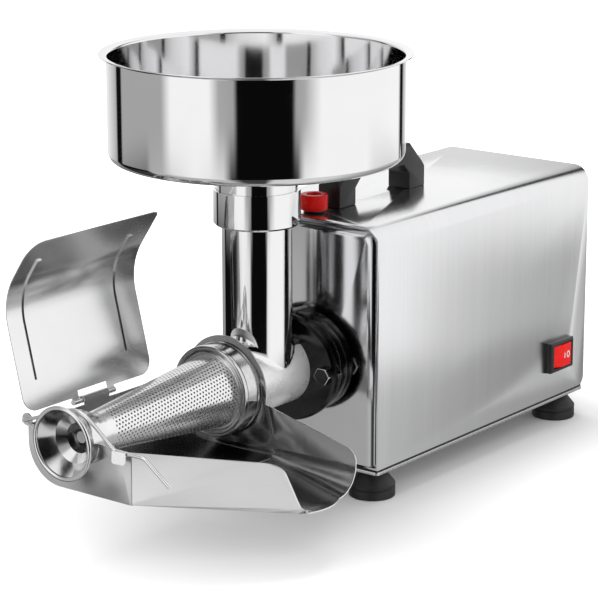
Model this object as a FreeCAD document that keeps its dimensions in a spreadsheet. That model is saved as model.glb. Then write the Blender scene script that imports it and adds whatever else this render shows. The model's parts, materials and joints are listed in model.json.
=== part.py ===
import FreeCAD, Part
import math
import os
import Sketcher
from FreeCAD import Placement, Rotation, Vector

# Electric tomato strainer: a geared motor in a stainless housing drives an auger
# through a perforated cone.  Millimetres, +Z up, the pulp outlet towards -Y.  The
# origin lies on the bench, midway between the four feet.

# ---------------------------------------------------------------- driving sizes
# Radii end in _radius.  "Out" sizes are distances in front of the front panel, and
# "drop" and "rise" sizes are heights below and above the auger axis.
SIZES = {
    # feet and base
    "foot_height": 24.0,
    "foot_radius": 17.5,
    "foot_neck_radius": 9.0,
    "foot_lip": 8.0,
    "foot_groove": 1.2,
    "foot_inset": 19.0,
    "foot_recess_radius": 7.0,
    "foot_recess_depth": 6.0,
    "foot_pocket_radius": 5.6,
    "foot_pocket_depth": 11.0,
    "foot_screw_radius": 2.5,
    "foot_screw_head_radius": 4.8,
    "foot_screw_head": 3.2,
    "foot_nut_height": 4.0,
    "foot_nut_radius": 4.6,
    "base_sheet": 2.5,
    "base_corner": 4.0,
    "gasket_height": 2.0,
    "gasket_inset": 1.6,
    "gasket_width": 9.0,
    # housing
    "housing_length": 315.0,
    "housing_width": 160.0,
    "housing_height": 200.0,
    "cover_sheet": 1.5,
    "cover_bend_radius": 15.0,
    "cover_hem": 14.0,
    "cover_rear_corner": 8.0,
    "cover_screw_inset": 8.0,
    "cover_screw_pitch": 180.0,
    "cover_screw_radius": 2.0,
    "panel_sheet": 1.5,
    "panel_return": 12.0,
    "panel_gap": 0.3,
    "panel_hole_radius": 20.0,
    "vent_width": 4.0,
    "vent_height": 40.0,
    "vent_pitch": 9.0,
    "vent_count": 11,
    "vent_above_base": 128.0,
    # carrying handle
    "handle_back": 100.0,
    "handle_span": 120.0,
    "handle_rise": 39.0,
    "handle_leg": 22.0,
    "handle_grip": 17.0,
    "handle_width": 22.0,
    "handle_corner": 18.0,
    "handle_inner_corner": 8.0,
    "handle_chamfer": 3.0,
    "handle_screw_radius": 2.5,
    # push button on the top, and its switch
    "button_back": 20.0,
    "button_radius": 11.25,
    "button_height": 15.8,
    "button_gap": 2.2,
    "button_recess_radius": 6.0,
    "button_recess_depth": 4.5,
    "button_wall": 2.2,
    "button_stem_radius": 3.0,
    "button_collar_radius": 8.6,
    "button_collar_height": 5.0,
    "button_thread_radius": 7.0,
    "button_switch_side": 18.0,
    "button_switch_height": 22.0,
    # rocker switch on the right side
    "rocker_inset": 43.5,
    "rocker_above_base": 36.8,
    "bezel_length": 36.0,
    "bezel_height": 27.0,
    "bezel_proud": 5.0,
    "bezel_opening_length": 29.0,
    "bezel_opening_height": 21.0,
    "bezel_body_depth": 22.0,
    "rocker_half_length": 13.0,
    "rocker_ridge": 4.6,
    "rocker_end": 7.2,
    "rocker_depth": 5.0,
    "rocker_tilt": 9.0,
    "rocker_clear": 0.5,
    "rocker_pin_radius": 1.2,
    "rocker_pin_clear": 0.05,
    "rocker_pin_seat": 0.6,
    # cable gland on the back
    "gland_side": 45.0,
    "gland_above_base": 32.0,
    "gland_radius": 9.0,
    "gland_bore_radius": 4.2,
    "gland_proud": 14.0,
    "gland_flange_radius": 11.5,
    # auger axis and head
    "axis_height": 108.0,
    "neck_out": 54.0,
    "neck_radius": 27.9,
    "neck_wall": 1.6,
    "neck_rise": 124.5,
    "collar_radius": 34.6,
    "collar_wall": 2.1,
    "collar_height": 28.0,
    "neck_flare": 8.0,
    "barrel_radius": 29.4,
    "barrel_bore_radius": 25.0,
    "barrel_nose_out": 111.8,
    "thread_radius": 33.0,
    "thread_end_out": 94.9,
    "shoulder_radius": 36.0,
    "shoulder_width": 6.0,
    "flange_radius": 51.0,
    "flange_front_out": 26.0,
    "flange_back_out": 18.0,
    "flange_bolt_pitch_radius": 42.0,
    "flange_bolt_radius": 4.0,
    "flange_bolt_head": 5.3,
    "flange_bolt_across": 13.0,
    "flange_bolt_count": 2,
    "flange_nut": 6.5,
    "bolt_clearance": 0.2,
    "gear_flange_radius": 53.0,
    "gear_flange_thickness": 10.0,
    "gear_boss_radius": 34.0,
    "flat_gap": 0.1,
    # ring nut and screen
    "ring_radius": 36.7,
    "ring_length": 20.0,
    "ring_lip": 2.0,
    "ring_opening_radius": 29.6,
    "ring_bead": 1.2,
    "thread_clearance": 0.15,
    "screen_radius": 29.0,
    "screen_tip_radius": 15.5,
    "screen_wall": 0.8,
    "screen_tip_out": 246.0,
    "screen_end_length": 6.0,
    "screen_flange": 1.0,
    "screen_hole_across": 3.4,
    "screen_hole_rows": 11,
    "screen_holes_round": 15,
    "screen_hole_margin": 7.0,
    # outlet horn
    "horn_spigot_clear": 0.1,
    "horn_neck_radius": 16.6,
    "horn_collar_radius": 20.3,
    "horn_collar_start_out": 258.0,
    "horn_collar_end_out": 270.5,
    "horn_throat_radius": 11.5,
    "horn_mouth_out": 282.6,
    "horn_mouth_radius": 26.9,
    "horn_bead": 1.75,
    "horn_wall": 1.4,
    # auger and its drive
    "auger_clearance": 0.6,
    "auger_core_radius": 12.5,
    "auger_neck_radius": 9.0,
    "auger_tip_radius": 6.0,
    "auger_tip_out": 250.0,
    "auger_pin_radius": 4.5,
    "auger_pin_length": 12.0,
    "auger_disc": 3.0,
    "auger_back_out": 20.0,
    "auger_pitch": 34.0,
    "flight_thickness": 3.5,
    "tang_side": 12.0,
    "tang_length": 20.0,
    "tang_clearance": 0.1,
    "shaft_radius": 10.0,
    "shaft_clearance": 0.03,
    "shaft_end_gap": 0.5,
    "bearing_radius": 21.0,
    "bearing_width": 12.0,
    "seal_radius": 17.0,
    "seal_width": 5.0,
    # gearbox, two stages
    "drive_module": 2.0,
    "drive_teeth": 36,
    "drive_pinion_teeth": 11,
    "motor_module": 1.5,
    "motor_gear_teeth": 33,
    "motor_pinion_teeth": 11,
    "gear_width": 12.0,
    "gear_backlash": 0.35,
    "gear_space": 4.0,
    "layshaft_radius": 6.0,
    "lay_bearing_radius": 14.0,
    "lay_bearing_width": 9.0,
    "gearbox_wall": 5.0,
    "gearbox_depth": 66.0,
    "gearbox_cover": 14.0,
    "gearbox_corner": 12.0,
    "gearbox_margin": 6.0,
    # motor
    "motor_rise": 52.0,
    "motor_radius": 50.0,
    "motor_length": 118.0,
    "motor_wall": 6.0,
    "stator_bore_radius": 29.0,
    "air_gap": 0.5,
    "rotor_length": 70.0,
    "motor_shaft_radius": 5.0,
    "fan_radius": 40.0,
    "fan_width": 12.0,
    "fan_blades": 7,
    "cradle_sheet": 3.0,
    "cradle_width": 70.0,
    "capacitor_radius": 16.0,
    "capacitor_inset": 95.0,
    "capacitor_length": 60.0,
    # juice tray
    "tray_sheet": 1.0,
    "tray_front_out": 265.0,
    "tray_back_out": 94.8,
    "tray_half_width": 51.0,
    "tray_bend_radius": 31.0,
    "tray_front_drop": 41.7,
    "tray_back_drop": 49.5,
    "tray_left_rise": 1.5,
    "tray_right_drop": 1.7,
    "tray_crease_drop": 10.0,
    "tray_lobe_radius": 41.0,
    "tray_hole_clear": 0.4,
    "notch_clear": 0.4,
    "spout_end": 130.5,
    "spout_front_out": 162.0,
    "spout_back_out": 98.0,
    "spout_drop": 60.0,
    "spout_front_top_drop": 22.5,
    "spout_back_top_drop": 27.5,
    "spout_lip": 6.0,
    "spout_root_bend": 8.0,
    "spout_bend": 22.0,
    "spout_curve_start": 27.0,
    "spout_curve": 42.0,
    "spout_back_corner": 12.0,
    "catch_side": 41.8,
    "catch_width": 9.6,
    "catch_reach": 5.6,
    "catch_height": 9.0,
    # wire clip
    "wire_radius": 1.5,
    "wire_gap": 0.3,
    "clip_gap": 1.4,
    "clip_pivot_side": 52.1,
    "clip_pivot_rise": 4.5,
    "clip_ear_radius": 5.0,
    "clip_stub": 6.5,
    "clip_catch_side": 38.4,
    "clip_catch_bend": 5.0,
    "clip_lever_bend": 6.0,
    "clip_lever_side": 66.7,
    "clip_tip_side": 91.1,
    "clip_catch_drop": 1.2,
    "clip_tip_drop": 19.1,
    # splash guard
    "guard_sheet": 1.0,
    "guard_front_out": 264.0,
    "guard_back_out": 120.5,
    "guard_lean": 13.8,
    "guard_rise": 69.8,
    "guard_bend_radius": 49.5,
    "guard_nose_lean": 33.8,
    "guard_nose": 34.0,
    "guard_front_corner": 14.0,
    "guard_back_corner": 5.0,
    "guard_low_corner": 12.0,
    "guard_skirt": 3.6,
    "tongue_front_out": 213.0,
    "tongue_back_out": 166.0,
    "window_length": 33.0,
    "window_height": 8.0,
    "hinge_rise": 4.5,
    "hinge_bead_radius": 2.2,
    "hinge_clear": 0.3,
    "hinge_hook_length": 28.0,
    "rib_width": 4.5,
    "rib_proud": 1.2,
    "rib_front_out": 244.5,
    "rib_back_out": 142.5,
    "rib_start": 26.0,
    "rib_nose": 14.0,
    # hopper bowl
    "bowl_radius": 116.5,
    "bowl_sheet": 1.0,
    "bowl_bottom_rise": 174.5,
    "bowl_corner_radius": 15.0,
    "bowl_top_rise": 256.5,
    "bowl_lip": 6.2,
    "spigot_wall": 1.2,
    "spigot_clear": 0.3,
    "spigot_seat": 0.3,
}

doc = FreeCAD.newDocument("tomato_strainer")
sheet = doc.addObject("Spreadsheet::Sheet", "Sizes")
for row, (alias, number) in enumerate(SIZES.items(), 1):
    sheet.set(f"A{row}", alias)
    sheet.set(f"B{row}", str(number))
    sheet.setAlias(f"B{row}", alias)
doc.recompute()


class Size:
    """A size as a number and as the spreadsheet expression that gives it."""

    def __init__(self, value, text):
        self.value = float(value)
        self.text = text

    @staticmethod
    def of(thing):
        return thing if isinstance(thing, Size) else Size(thing, f"({thing})")

    def __add__(self, other):
        other = Size.of(other)
        return Size(self.value + other.value, f"({self.text} + {other.text})")

    def __radd__(self, other):
        return Size.of(other) + self

    def __sub__(self, other):
        other = Size.of(other)
        return Size(self.value - other.value, f"({self.text} - {other.text})")

    def __rsub__(self, other):
        return Size.of(other) - self

    def __mul__(self, other):
        other = Size.of(other)
        return Size(self.value * other.value, f"({self.text} * {other.text})")

    def __rmul__(self, other):
        return Size.of(other) * self

    def __truediv__(self, other):
        other = Size.of(other)
        return Size(self.value / other.value, f"({self.text} / {other.text})")

    def __neg__(self):
        return Size.of(0) - self


def sine(angle):
    """Sine of an angle in degrees."""
    angle = Size.of(angle)
    return Size(math.sin(math.radians(angle.value)), f"sin({angle.text})")


def cosine(angle):
    """Cosine of an angle in degrees."""
    angle = Size.of(angle)
    return Size(math.cos(math.radians(angle.value)), f"cos({angle.text})")


def arc_cosine(ratio):
    """The angle in degrees whose cosine is given, as a plain number to the sheet."""
    ratio = Size.of(ratio)
    text = f"(acos({ratio.text}) / 1 deg)"
    return Size(math.degrees(math.acos(ratio.value)), text)


def root(number):
    """Square root."""
    number = Size.of(number)
    return Size(math.sqrt(number.value), f"sqrt({number.text})")


class Sheet:
    """Gives each spreadsheet cell by its alias, as a Size."""

    def __getattr__(self, alias):
        return Size(sheet.get(alias), f"Sizes.{alias}")


s = Sheet()


# ---------------------------------------------------------------- feature helpers
def drive(feature, path, size):
    """Binds a property or a constraint of a feature to the spreadsheet."""
    feature.setExpression(path, Size.of(size).text)


def new_body(label, at=(0, 0, 0)):
    """A PartDesign body at a place that the spreadsheet gives."""
    body = doc.addObject("PartDesign::Body", label)
    body.Label = label
    body.AllowCompound = True
    for axis, size in zip("xyz", at):
        drive(body, f"Placement.Base.{axis}", size)
    return body


def new_sketch(body, plane, height=0, shift=(0, 0)):
    """A sketch on one of the body's own origin planes, raised along +X, +Y or +Z."""
    sketch = body.newObject("Sketcher::SketchObject", f"{body.Label}_sketch")
    support = next(o for o in body.Origin.OriginFeatures if o.Role == f"{plane}_Plane")
    sketch.AttachmentSupport = [(support, "")]
    sketch.MapMode = "FlatFace"
    # The XZ plane looks along -Y, so its height is turned round.
    rise = -Size.of(height) if plane == "XZ" else Size.of(height)
    drive(sketch, "AttachmentOffset.Base.x", shift[0])
    drive(sketch, "AttachmentOffset.Base.y", shift[1])
    drive(sketch, "AttachmentOffset.Base.z", rise)
    return sketch


def fix_point(sketch, geometry, position, x, y):
    """Ties a point of the sketch to coordinates from the spreadsheet."""
    for kind, axis, size in (("DistanceX", -2, x), ("DistanceY", -1, y)):
        if not isinstance(size, Size) and size == 0:
            sketch.addConstraint(Sketcher.Constraint("PointOnObject", geometry, position, axis))
            continue
        size = Size.of(size)
        rule = Sketcher.Constraint(kind, -1, 1, geometry, position, size.value)
        index = sketch.addConstraint(rule)
        drive(sketch, f"Constraints[{index}]", size)


def bent_side(start, end, radius):
    """A short arc from start to end, anticlockwise when the radius is positive."""
    size = abs(radius)
    middle = (start + end) * 0.5
    across = end - start
    half = across.Length / 2
    reach = math.sqrt(max(size * size - half * half, 0.0))
    normal = Vector(-across.y, across.x, 0).normalize()
    centre = middle + normal * (reach if radius > 0 else -reach)
    first, last = (start, end) if radius > 0 else (end, start)
    begin = math.atan2(first.y - centre.y, first.x - centre.x)
    stop = math.atan2(last.y - centre.y, last.x - centre.x)
    if stop < begin:
        stop += 2 * math.pi
    return Part.ArcOfCircle(Part.Circle(centre, Vector(0, 0, 1), size), begin, stop)


def outline(sketch, corners):
    """Draws a closed outline.  A third value on a corner is the radius of the arc
    that arrives there, positive when it turns anticlockwise."""
    count = len(corners)
    base = sketch.GeometryCount
    places = [Vector(Size.of(c[0]).value, Size.of(c[1]).value, 0) for c in corners]
    ends = []
    for index in range(count):
        after = (index + 1) % count
        start, end = places[index], places[after]
        bend = Size.of(corners[after][2]) if len(corners[after]) > 2 else None
        if bend is None:
            sketch.addGeometry(Part.LineSegment(start, end))
            ends.append((1, 2))
        else:
            number = sketch.addGeometry(bent_side(start, end, bend.value))
            size = bend if bend.value > 0 else -bend
            rule = sketch.addConstraint(Sketcher.Constraint("Radius", number, size.value))
            drive(sketch, f"Constraints[{rule}]", size)
            ends.append((1, 2) if bend.value > 0 else (2, 1))
    for index in range(count):
        after = (index + 1) % count
        joint = (base + index, ends[index][1], base + after, ends[after][0])
        sketch.addConstraint(Sketcher.Constraint("Coincident", *joint))
    for index, corner in enumerate(corners):
        fix_point(sketch, base + index, ends[index][0], corner[0], corner[1])
    return sketch


def circle(sketch, x, y, radius):
    """Adds a circle to a sketch."""
    radius = Size.of(radius)
    middle = Vector(Size.of(x).value, Size.of(y).value, 0)
    number = sketch.addGeometry(Part.Circle(middle, Vector(0, 0, 1), radius.value))
    rule = sketch.addConstraint(Sketcher.Constraint("Radius", number, radius.value))
    drive(sketch, f"Constraints[{rule}]", radius)
    fix_point(sketch, number, 3, x, y)
    return sketch


def box(sketch, low, high):
    """Adds a rectangle between two corners."""
    corners = [(low[0], low[1]), (high[0], low[1]), (high[0], high[1]), (low[0], high[1])]
    return outline(sketch, corners)


def hexagon(sketch, across):
    """Adds a hexagon about the sketch's origin, by its width across flats."""
    circum = Size.of(across) / math.sqrt(3)
    corners = []
    for k in range(6):
        corners.append((circum * round(math.cos(math.pi * k / 3), 9) + 0.0,
                        circum * round(math.sin(math.pi * k / 3), 9) + 0.0))
    return outline(sketch, corners)


def feature(body, kind, sketch):
    """Adds a sketch based feature and makes it the body's tip."""
    made = body.newObject(f"PartDesign::{kind}", f"{body.Label}_{kind.lower()}")
    made.Profile = sketch
    body.Tip = made
    return made


def pad(sketch, length, both=False, back=False):
    """Pads a sketch, along its normal, backwards, or half each way."""
    made = feature(sketch.getParent(), "Pad", sketch)
    drive(made, "Length", length)
    made.Midplane = both
    made.Reversed = back
    return made


def pocket(sketch, length=None, both=False, back=False):
    """Cuts a sketch out, along its normal, backwards, or both ways; with no length
    it goes right through."""
    made = feature(sketch.getParent(), "Pocket", sketch)
    made.Midplane = both
    made.Reversed = not back
    if length is None:
        made.Type = "ThroughAll"
    else:
        drive(made, "Length", length)
    return made


def turn(sketch, axis="V_Axis", kind="Revolution"):
    """Revolves a sketch, or grooves with it, a full turn about its own axis."""
    made = feature(sketch.getParent(), kind, sketch)
    made.ReferenceAxis = (sketch, [axis])
    made.Angle = 360.0
    return made


def around(body, made, role, count):
    """Repeats features evenly round one of the body's axes."""
    pattern = body.newObject("PartDesign::PolarPattern", f"{body.Label}_pattern")
    pattern.Originals = made
    axis = next(o for o in body.Origin.OriginFeatures if o.Role == role)
    pattern.Axis = (axis, [""])
    pattern.Angle = 360.0
    drive(pattern, "Occurrences", count)
    body.Tip = pattern
    return pattern


def along(body, made, role, length, count):
    """Repeats features in a row along one of the body's axes."""
    pattern = body.newObject("PartDesign::LinearPattern", f"{body.Label}_row")
    pattern.Originals = made
    axis = next(o for o in body.Origin.OriginFeatures if o.Role == role)
    pattern.Direction = (axis, [""])
    drive(pattern, "Length", length)
    drive(pattern, "Occurrences", count)
    body.Tip = pattern
    return pattern


def four(body, made, across, length):
    """Repeats features at the corners of a rectangle, first along X and then Y."""
    pair = along(body, made, "X_Axis", across, 2)
    rows = body.newObject("PartDesign::MultiTransform", f"{body.Label}_corners")
    rows.Originals = made
    second = body.newObject("PartDesign::LinearPattern", f"{body.Label}_second_row")
    axis = next(o for o in body.Origin.OriginFeatures if o.Role == "Y_Axis")
    second.Direction = (axis, [""])
    drive(second, "Length", length)
    drive(second, "Occurrences", 2)
    rows.Transformations = [pair, second]
    body.Tip = rows
    return rows


def edges_where(shape, test):
    """Names of the edges for which the test holds at both ends and the middle."""
    names = []
    for number, edge in enumerate(shape.Edges, 1):
        low, high = edge.ParameterRange
        spots = [edge.valueAt(low), edge.valueAt((low + high) / 2), edge.valueAt(high)]
        if all(test(spot) for spot in spots):
            names.append(f"Edge{number}")
    return names


def soften(body, test, size, kind="Fillet"):
    """Rounds or chamfers the edges of the body for which the test holds."""
    doc.recompute()
    base = body.Tip
    made = body.newObject(f"PartDesign::{kind}", f"{body.Label}_{kind.lower()}")
    made.Base = (base, edges_where(base.Shape, test))
    drive(made, "Radius" if kind == "Fillet" else "Size", size)
    body.Tip = made
    return made


def near(value, size, slack=0.02):
    """True when a coordinate is at a size."""
    return abs(value - Size.of(size).value) < slack


# ---------------------------------------------------------------- common places
half_width = s.housing_width / 2
half_length = s.housing_length / 2
front = -half_length
base_bottom = s.foot_height
base_top = base_bottom + s.base_sheet
cover_bottom = base_top + s.gasket_height
cover_top = cover_bottom + s.housing_height
foot_x = half_width - s.foot_inset
foot_y = half_length - s.foot_inset
head = (0, front, s.axis_height)
PI = math.pi


# ---------------------------------------------------------------- feet and base
def rubber_feet():
    """Conical rubber feet with a lip, a groove and a recess for the screw head."""
    body = new_body("rubber_feet")
    sketch = new_sketch(body, "XZ", -foot_y, (-foot_x, 0))
    groove_top = s.foot_lip + s.foot_groove
    pocket_top = s.foot_pocket_depth
    outline(sketch, [
        (s.foot_recess_radius, 0),
        (s.foot_radius - 0.6, 0),
        (s.foot_radius, 0.8),
        (s.foot_radius, s.foot_lip - 0.6),
        (s.foot_radius - s.foot_groove, s.foot_lip),
        (s.foot_radius, groove_top),
        (s.foot_neck_radius, s.foot_height),
        (s.foot_screw_radius + 0.1, s.foot_height),
        (s.foot_screw_radius + 0.1, pocket_top),
        (s.foot_pocket_radius, pocket_top),
        (s.foot_pocket_radius, s.foot_recess_depth),
        (s.foot_recess_radius, s.foot_recess_depth),
    ])
    four(body, [turn(sketch)], foot_x * 2, foot_y * 2)


def foot_screws():
    """Pan head screws that hold the feet to the base plate."""
    body = new_body("foot_screws")
    sketch = new_sketch(body, "XZ", -foot_y, (-foot_x, 0))
    seat = s.foot_pocket_depth - 0.02
    tip = base_top + s.foot_nut_height + 1.5
    outline(sketch, [
        (0, seat - s.foot_screw_head),
        (s.foot_screw_head_radius - 1.2, seat - s.foot_screw_head),
        (s.foot_screw_head_radius, seat - s.foot_screw_head + 1.2),
        (s.foot_screw_head_radius, seat),
        (s.foot_screw_radius, seat),
        (s.foot_screw_radius, tip - 0.5),
        (s.foot_screw_radius - 0.5, tip),
        (0, tip),
    ])
    four(body, [turn(sketch)], foot_x * 2, foot_y * 2)


def foot_nuts():
    """Hexagon nuts on the foot screws, inside the housing."""
    body = new_body("foot_nuts")
    sketch = new_sketch(body, "XY", base_top, (-foot_x, -foot_y))
    hexagon(sketch, s.foot_nut_radius * math.sqrt(3))
    circle(sketch, 0, 0, s.foot_screw_radius + 0.05)
    four(body, [pad(sketch, s.foot_nut_height)], foot_x * 2, foot_y * 2)


def base_plate():
    """Flat steel plate that closes the housing from below."""
    body = new_body("base_plate")
    plate = new_sketch(body, "XY", base_bottom)
    box(plate, (-half_width, -half_length), (half_width, half_length))
    pad(plate, s.base_sheet)
    corner = lambda p: near(abs(p.x), half_width) and near(abs(p.y), half_length)
    soften(body, corner, s.base_corner)
    holes = new_sketch(body, "XY", base_bottom)
    for x in (-foot_x, foot_x):
        for y in (-foot_y, foot_y):
            circle(holes, x, y, s.foot_screw_radius + 0.1)
    screw_x = half_width - s.cover_screw_inset
    for x in (-screw_x, screw_x):
        for y in (-s.cover_screw_pitch / 2, s.cover_screw_pitch / 2):
            circle(holes, x, y, s.cover_screw_radius + 0.1)
    pocket(holes)
    slots = new_sketch(body, "XY", base_bottom, (0, s.vent_pitch * 4))
    box(slots, (-s.vent_height / 2, -s.vent_width / 2), (s.vent_height / 2, s.vent_width / 2))
    along(body, [pocket(slots)], "Y_Axis", s.vent_pitch * 6, 7)


def base_gasket():
    """Black foam strip between the base plate and the cover."""
    body = new_body("base_gasket")
    ring = new_sketch(body, "XY", base_top)
    x, y = half_width - s.gasket_inset, half_length - s.gasket_inset
    box(ring, (-x, -y), (x, y))
    box(ring, (-x + s.gasket_width, -y + s.gasket_width), (x - s.gasket_width, y - s.gasket_width))
    pad(ring, s.gasket_height)
    holes = new_sketch(body, "XY", base_top)
    screw_x = half_width - s.cover_screw_inset
    for side in (-screw_x, screw_x):
        for place in (-s.cover_screw_pitch / 2, s.cover_screw_pitch / 2):
            circle(holes, side, place, s.cover_screw_radius + 0.1)
    pocket(holes)


def cover_screws():
    """Screws from below, through base plate and gasket into the cover's hems."""
    body = new_body("cover_screws")
    x, y = half_width - s.cover_screw_inset, s.cover_screw_pitch / 2
    sketch = new_sketch(body, "XZ", -y, (-x, 0))
    tip = cover_bottom + s.cover_sheet + 3
    outline(sketch, [
        (0, base_bottom - 2.2),
        (s.cover_screw_radius + 1, base_bottom - 2.2),
        (s.cover_screw_radius + 1.8, base_bottom - 1.2),
        (s.cover_screw_radius + 1.8, base_bottom),
        (s.cover_screw_radius, base_bottom),
        (s.cover_screw_radius, tip),
        (0, tip),
    ])
    four(body, [turn(sketch)], x * 2, y * 2)


# ---------------------------------------------------------------- housing
def housing_cover():
    """Stainless sheet bent over the top and both sides, with hems along the bottom."""
    body = new_body("housing_cover")
    wrap = new_sketch(body, "XZ")
    w, t, bend = half_width, s.cover_sheet, s.cover_bend_radius
    inner = w - t
    hem = w - s.cover_hem
    shoulder = cover_top - bend
    outline(wrap, [
        (-hem, cover_bottom),
        (-w, cover_bottom),
        (-w, shoulder),
        (-w + bend, cover_top, -bend),
        (w - bend, cover_top),
        (w, shoulder, -bend),
        (w, cover_bottom),
        (hem, cover_bottom),
        (hem, cover_bottom + t),
        (inner, cover_bottom + t),
        (inner, shoulder),
        (w - bend, cover_top - t, bend - t),
        (-w + bend, cover_top - t),
        (-inner, shoulder, bend - t),
        (-inner, cover_bottom + t),
        (-hem, cover_bottom + t),
    ])
    pad(wrap, s.housing_length, both=True)
    top = new_sketch(body, "XY", cover_top)
    circle(top, 0, front + s.button_back, s.button_thread_radius + 0.1)
    for place in handle_screw_places():
        circle(top, 0, place, s.handle_screw_radius + 0.1)
    pocket(top, t + 1, back=True)
    side = new_sketch(body, "YZ", half_width)
    y, z = half_length - s.rocker_inset, cover_bottom + s.rocker_above_base
    reach_y = s.bezel_opening_length / 2 + 1.1
    reach_z = s.bezel_opening_height / 2 + 1.1
    box(side, (y - reach_y, z - reach_z), (y + reach_y, z + reach_z))
    pocket(side, t + 1, back=True)
    corner = new_sketch(body, "YZ")
    r = s.cover_rear_corner
    outline(corner, [
        (half_length - r, cover_bottom),
        (half_length, cover_bottom + r, r),
        (half_length + 1, cover_bottom + r),
        (half_length + 1, cover_bottom - 1),
        (half_length - r, cover_bottom - 1),
    ])
    pocket(corner, both=True)
    holes = new_sketch(body, "XY", cover_bottom)
    screw_x = half_width - s.cover_screw_inset
    for x in (-screw_x, screw_x):
        for place in (-s.cover_screw_pitch / 2, s.cover_screw_pitch / 2):
            circle(holes, x, place, s.cover_screw_radius + 0.05)
    pocket(holes, t + 1)


def pan_outline(sketch, inset):
    """The inside outline of the cover, moved in by an amount."""
    w = half_width - s.cover_sheet - inset
    low = cover_bottom + s.cover_sheet + inset
    high = cover_top - s.cover_sheet - inset
    r = s.cover_bend_radius - s.cover_sheet - inset
    outline(sketch, [
        (-w, low),
        (w, low),
        (w, high - r),
        (w - r, high, r),
        (-w + r, high),
        (-w, high - r, r),
    ])


def panel(label, face_y, inward):
    """A panel with its edges turned in, fitted inside an end of the cover."""
    body = new_body(label)
    outer = new_sketch(body, "XZ", face_y)
    pan_outline(outer, s.panel_gap)
    pad(outer, s.panel_return, back=inward)
    hollow = new_sketch(body, "XZ", face_y + (s.panel_sheet if inward else -s.panel_sheet))
    pan_outline(hollow, s.panel_gap + s.panel_sheet)
    pocket(hollow, s.panel_return, back=inward)
    return body


def front_panel():
    """Polished front panel, with the hole that the output shaft comes through."""
    body = panel("front_panel", front, True)
    holes = new_sketch(body, "XZ", front)
    circle(holes, 0, s.axis_height, s.panel_hole_radius)
    for x, z in flange_screw_places():
        circle(holes, x, s.axis_height + z, 2.6)
    pocket(holes, s.panel_sheet + 1, back=True)


def back_panel():
    """Back panel with cooling slots and the cable hole."""
    body = panel("back_panel", half_length, False)
    hole = new_sketch(body, "XZ", half_length)
    circle(hole, s.gland_side, cover_bottom + s.gland_above_base, s.gland_radius + 0.1)
    pocket(hole, s.panel_sheet + 1)
    slot = new_sketch(body, "XZ", half_length)
    x = -s.vent_pitch * (s.vent_count - 1) / 2
    z = cover_bottom + s.vent_above_base
    r = s.vent_width / 2
    outline(slot, [
        (x - r, z - s.vent_height / 2),
        (x + r, z - s.vent_height / 2),
        (x + r, z + s.vent_height / 2),
        (x - r, z + s.vent_height / 2),
    ])
    cut = pocket(slot, s.panel_sheet + 1)
    along(body, [cut], "X_Axis", s.vent_pitch * (s.vent_count - 1), s.vent_count)


def cable_gland():
    """Black gland in the back panel, with a free bore for the mains cable."""
    at = (s.gland_side, half_length, cover_bottom + s.gland_above_base)
    body = new_body("cable_gland", at)
    profile = new_sketch(body, "YZ")
    back = s.panel_sheet + 0.05
    outline(profile, [
        (-back - 10, s.gland_bore_radius),
        (s.gland_proud, s.gland_bore_radius),
        (s.gland_proud, s.gland_bore_radius + 2),
        (4.5, s.gland_radius),
        (4, s.gland_flange_radius),
        (0.05, s.gland_flange_radius),
        (0.05, s.gland_radius),
        (-back - 10, s.gland_radius),
    ])
    turn(profile, "H_Axis")


def gland_nut():
    """Nut that holds the gland from inside the back panel."""
    at = (s.gland_side, half_length - s.panel_sheet - 0.1, cover_bottom + s.gland_above_base)
    body = new_body("gland_nut", at)
    ring = new_sketch(body, "XZ")
    hexagon(ring, s.gland_radius * 2 + 6)
    circle(ring, 0, 0, s.gland_radius + 0.05)
    pad(ring, 4)


# ---------------------------------------------------------------- handle
def handle_screw_places():
    """Where the handle's two screws stand, along Y."""
    middle = front + s.handle_back
    reach = (s.handle_span - s.handle_leg) / 2
    return [middle - reach, middle + reach]


def carry_handle():
    """Moulded black bridge handle with cut corners."""
    body = new_body("carry_handle", (0, front + s.handle_back, cover_top))
    side = new_sketch(body, "YZ")
    reach, leg, rise = s.handle_span / 2, s.handle_leg, s.handle_rise
    cut, inner_cut = s.handle_corner, s.handle_inner_corner
    under = rise - s.handle_grip
    outline(side, [
        (-reach, 0),
        (-reach + leg, 0),
        (-reach + leg, under - inner_cut),
        (-reach + leg + inner_cut, under),
        (reach - leg - inner_cut, under),
        (reach - leg, under - inner_cut),
        (reach - leg, 0),
        (reach, 0),
        (reach, rise - cut),
        (reach - cut, rise),
        (-reach + cut, rise),
        (-reach, rise - cut),
    ])
    pad(side, s.handle_width, both=True)
    w = s.handle_width / 2
    top_edge = lambda p: near(abs(p.x), w) and p.z > (rise - cut).value - 0.01 and (
        near(p.z, rise) or abs(p.y) > (reach - cut).value - 0.01)
    soften(body, top_edge, s.handle_chamfer, "Chamfer")
    holes = new_sketch(body, "XY")
    middle = front + s.handle_back
    for place in handle_screw_places():
        circle(holes, 0, place - middle, s.handle_screw_radius + 0.05)
    pocket(holes, 12, back=False)


def handle_screws():
    """Two screws from inside the cover up into the handle's legs."""
    body = new_body("handle_screws")
    first, second = handle_screw_places()
    sketch = new_sketch(body, "XZ", first)
    seat = cover_top - s.cover_sheet - 0.02
    outline(sketch, [
        (0, seat - 3),
        (s.handle_screw_radius + 2, seat - 3),
        (s.handle_screw_radius + 2, seat),
        (s.handle_screw_radius, seat),
        (s.handle_screw_radius, cover_top + 11),
        (0, cover_top + 11),
    ])
    along(body, [turn(sketch)], "Y_Axis", second - first, 2)


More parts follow.
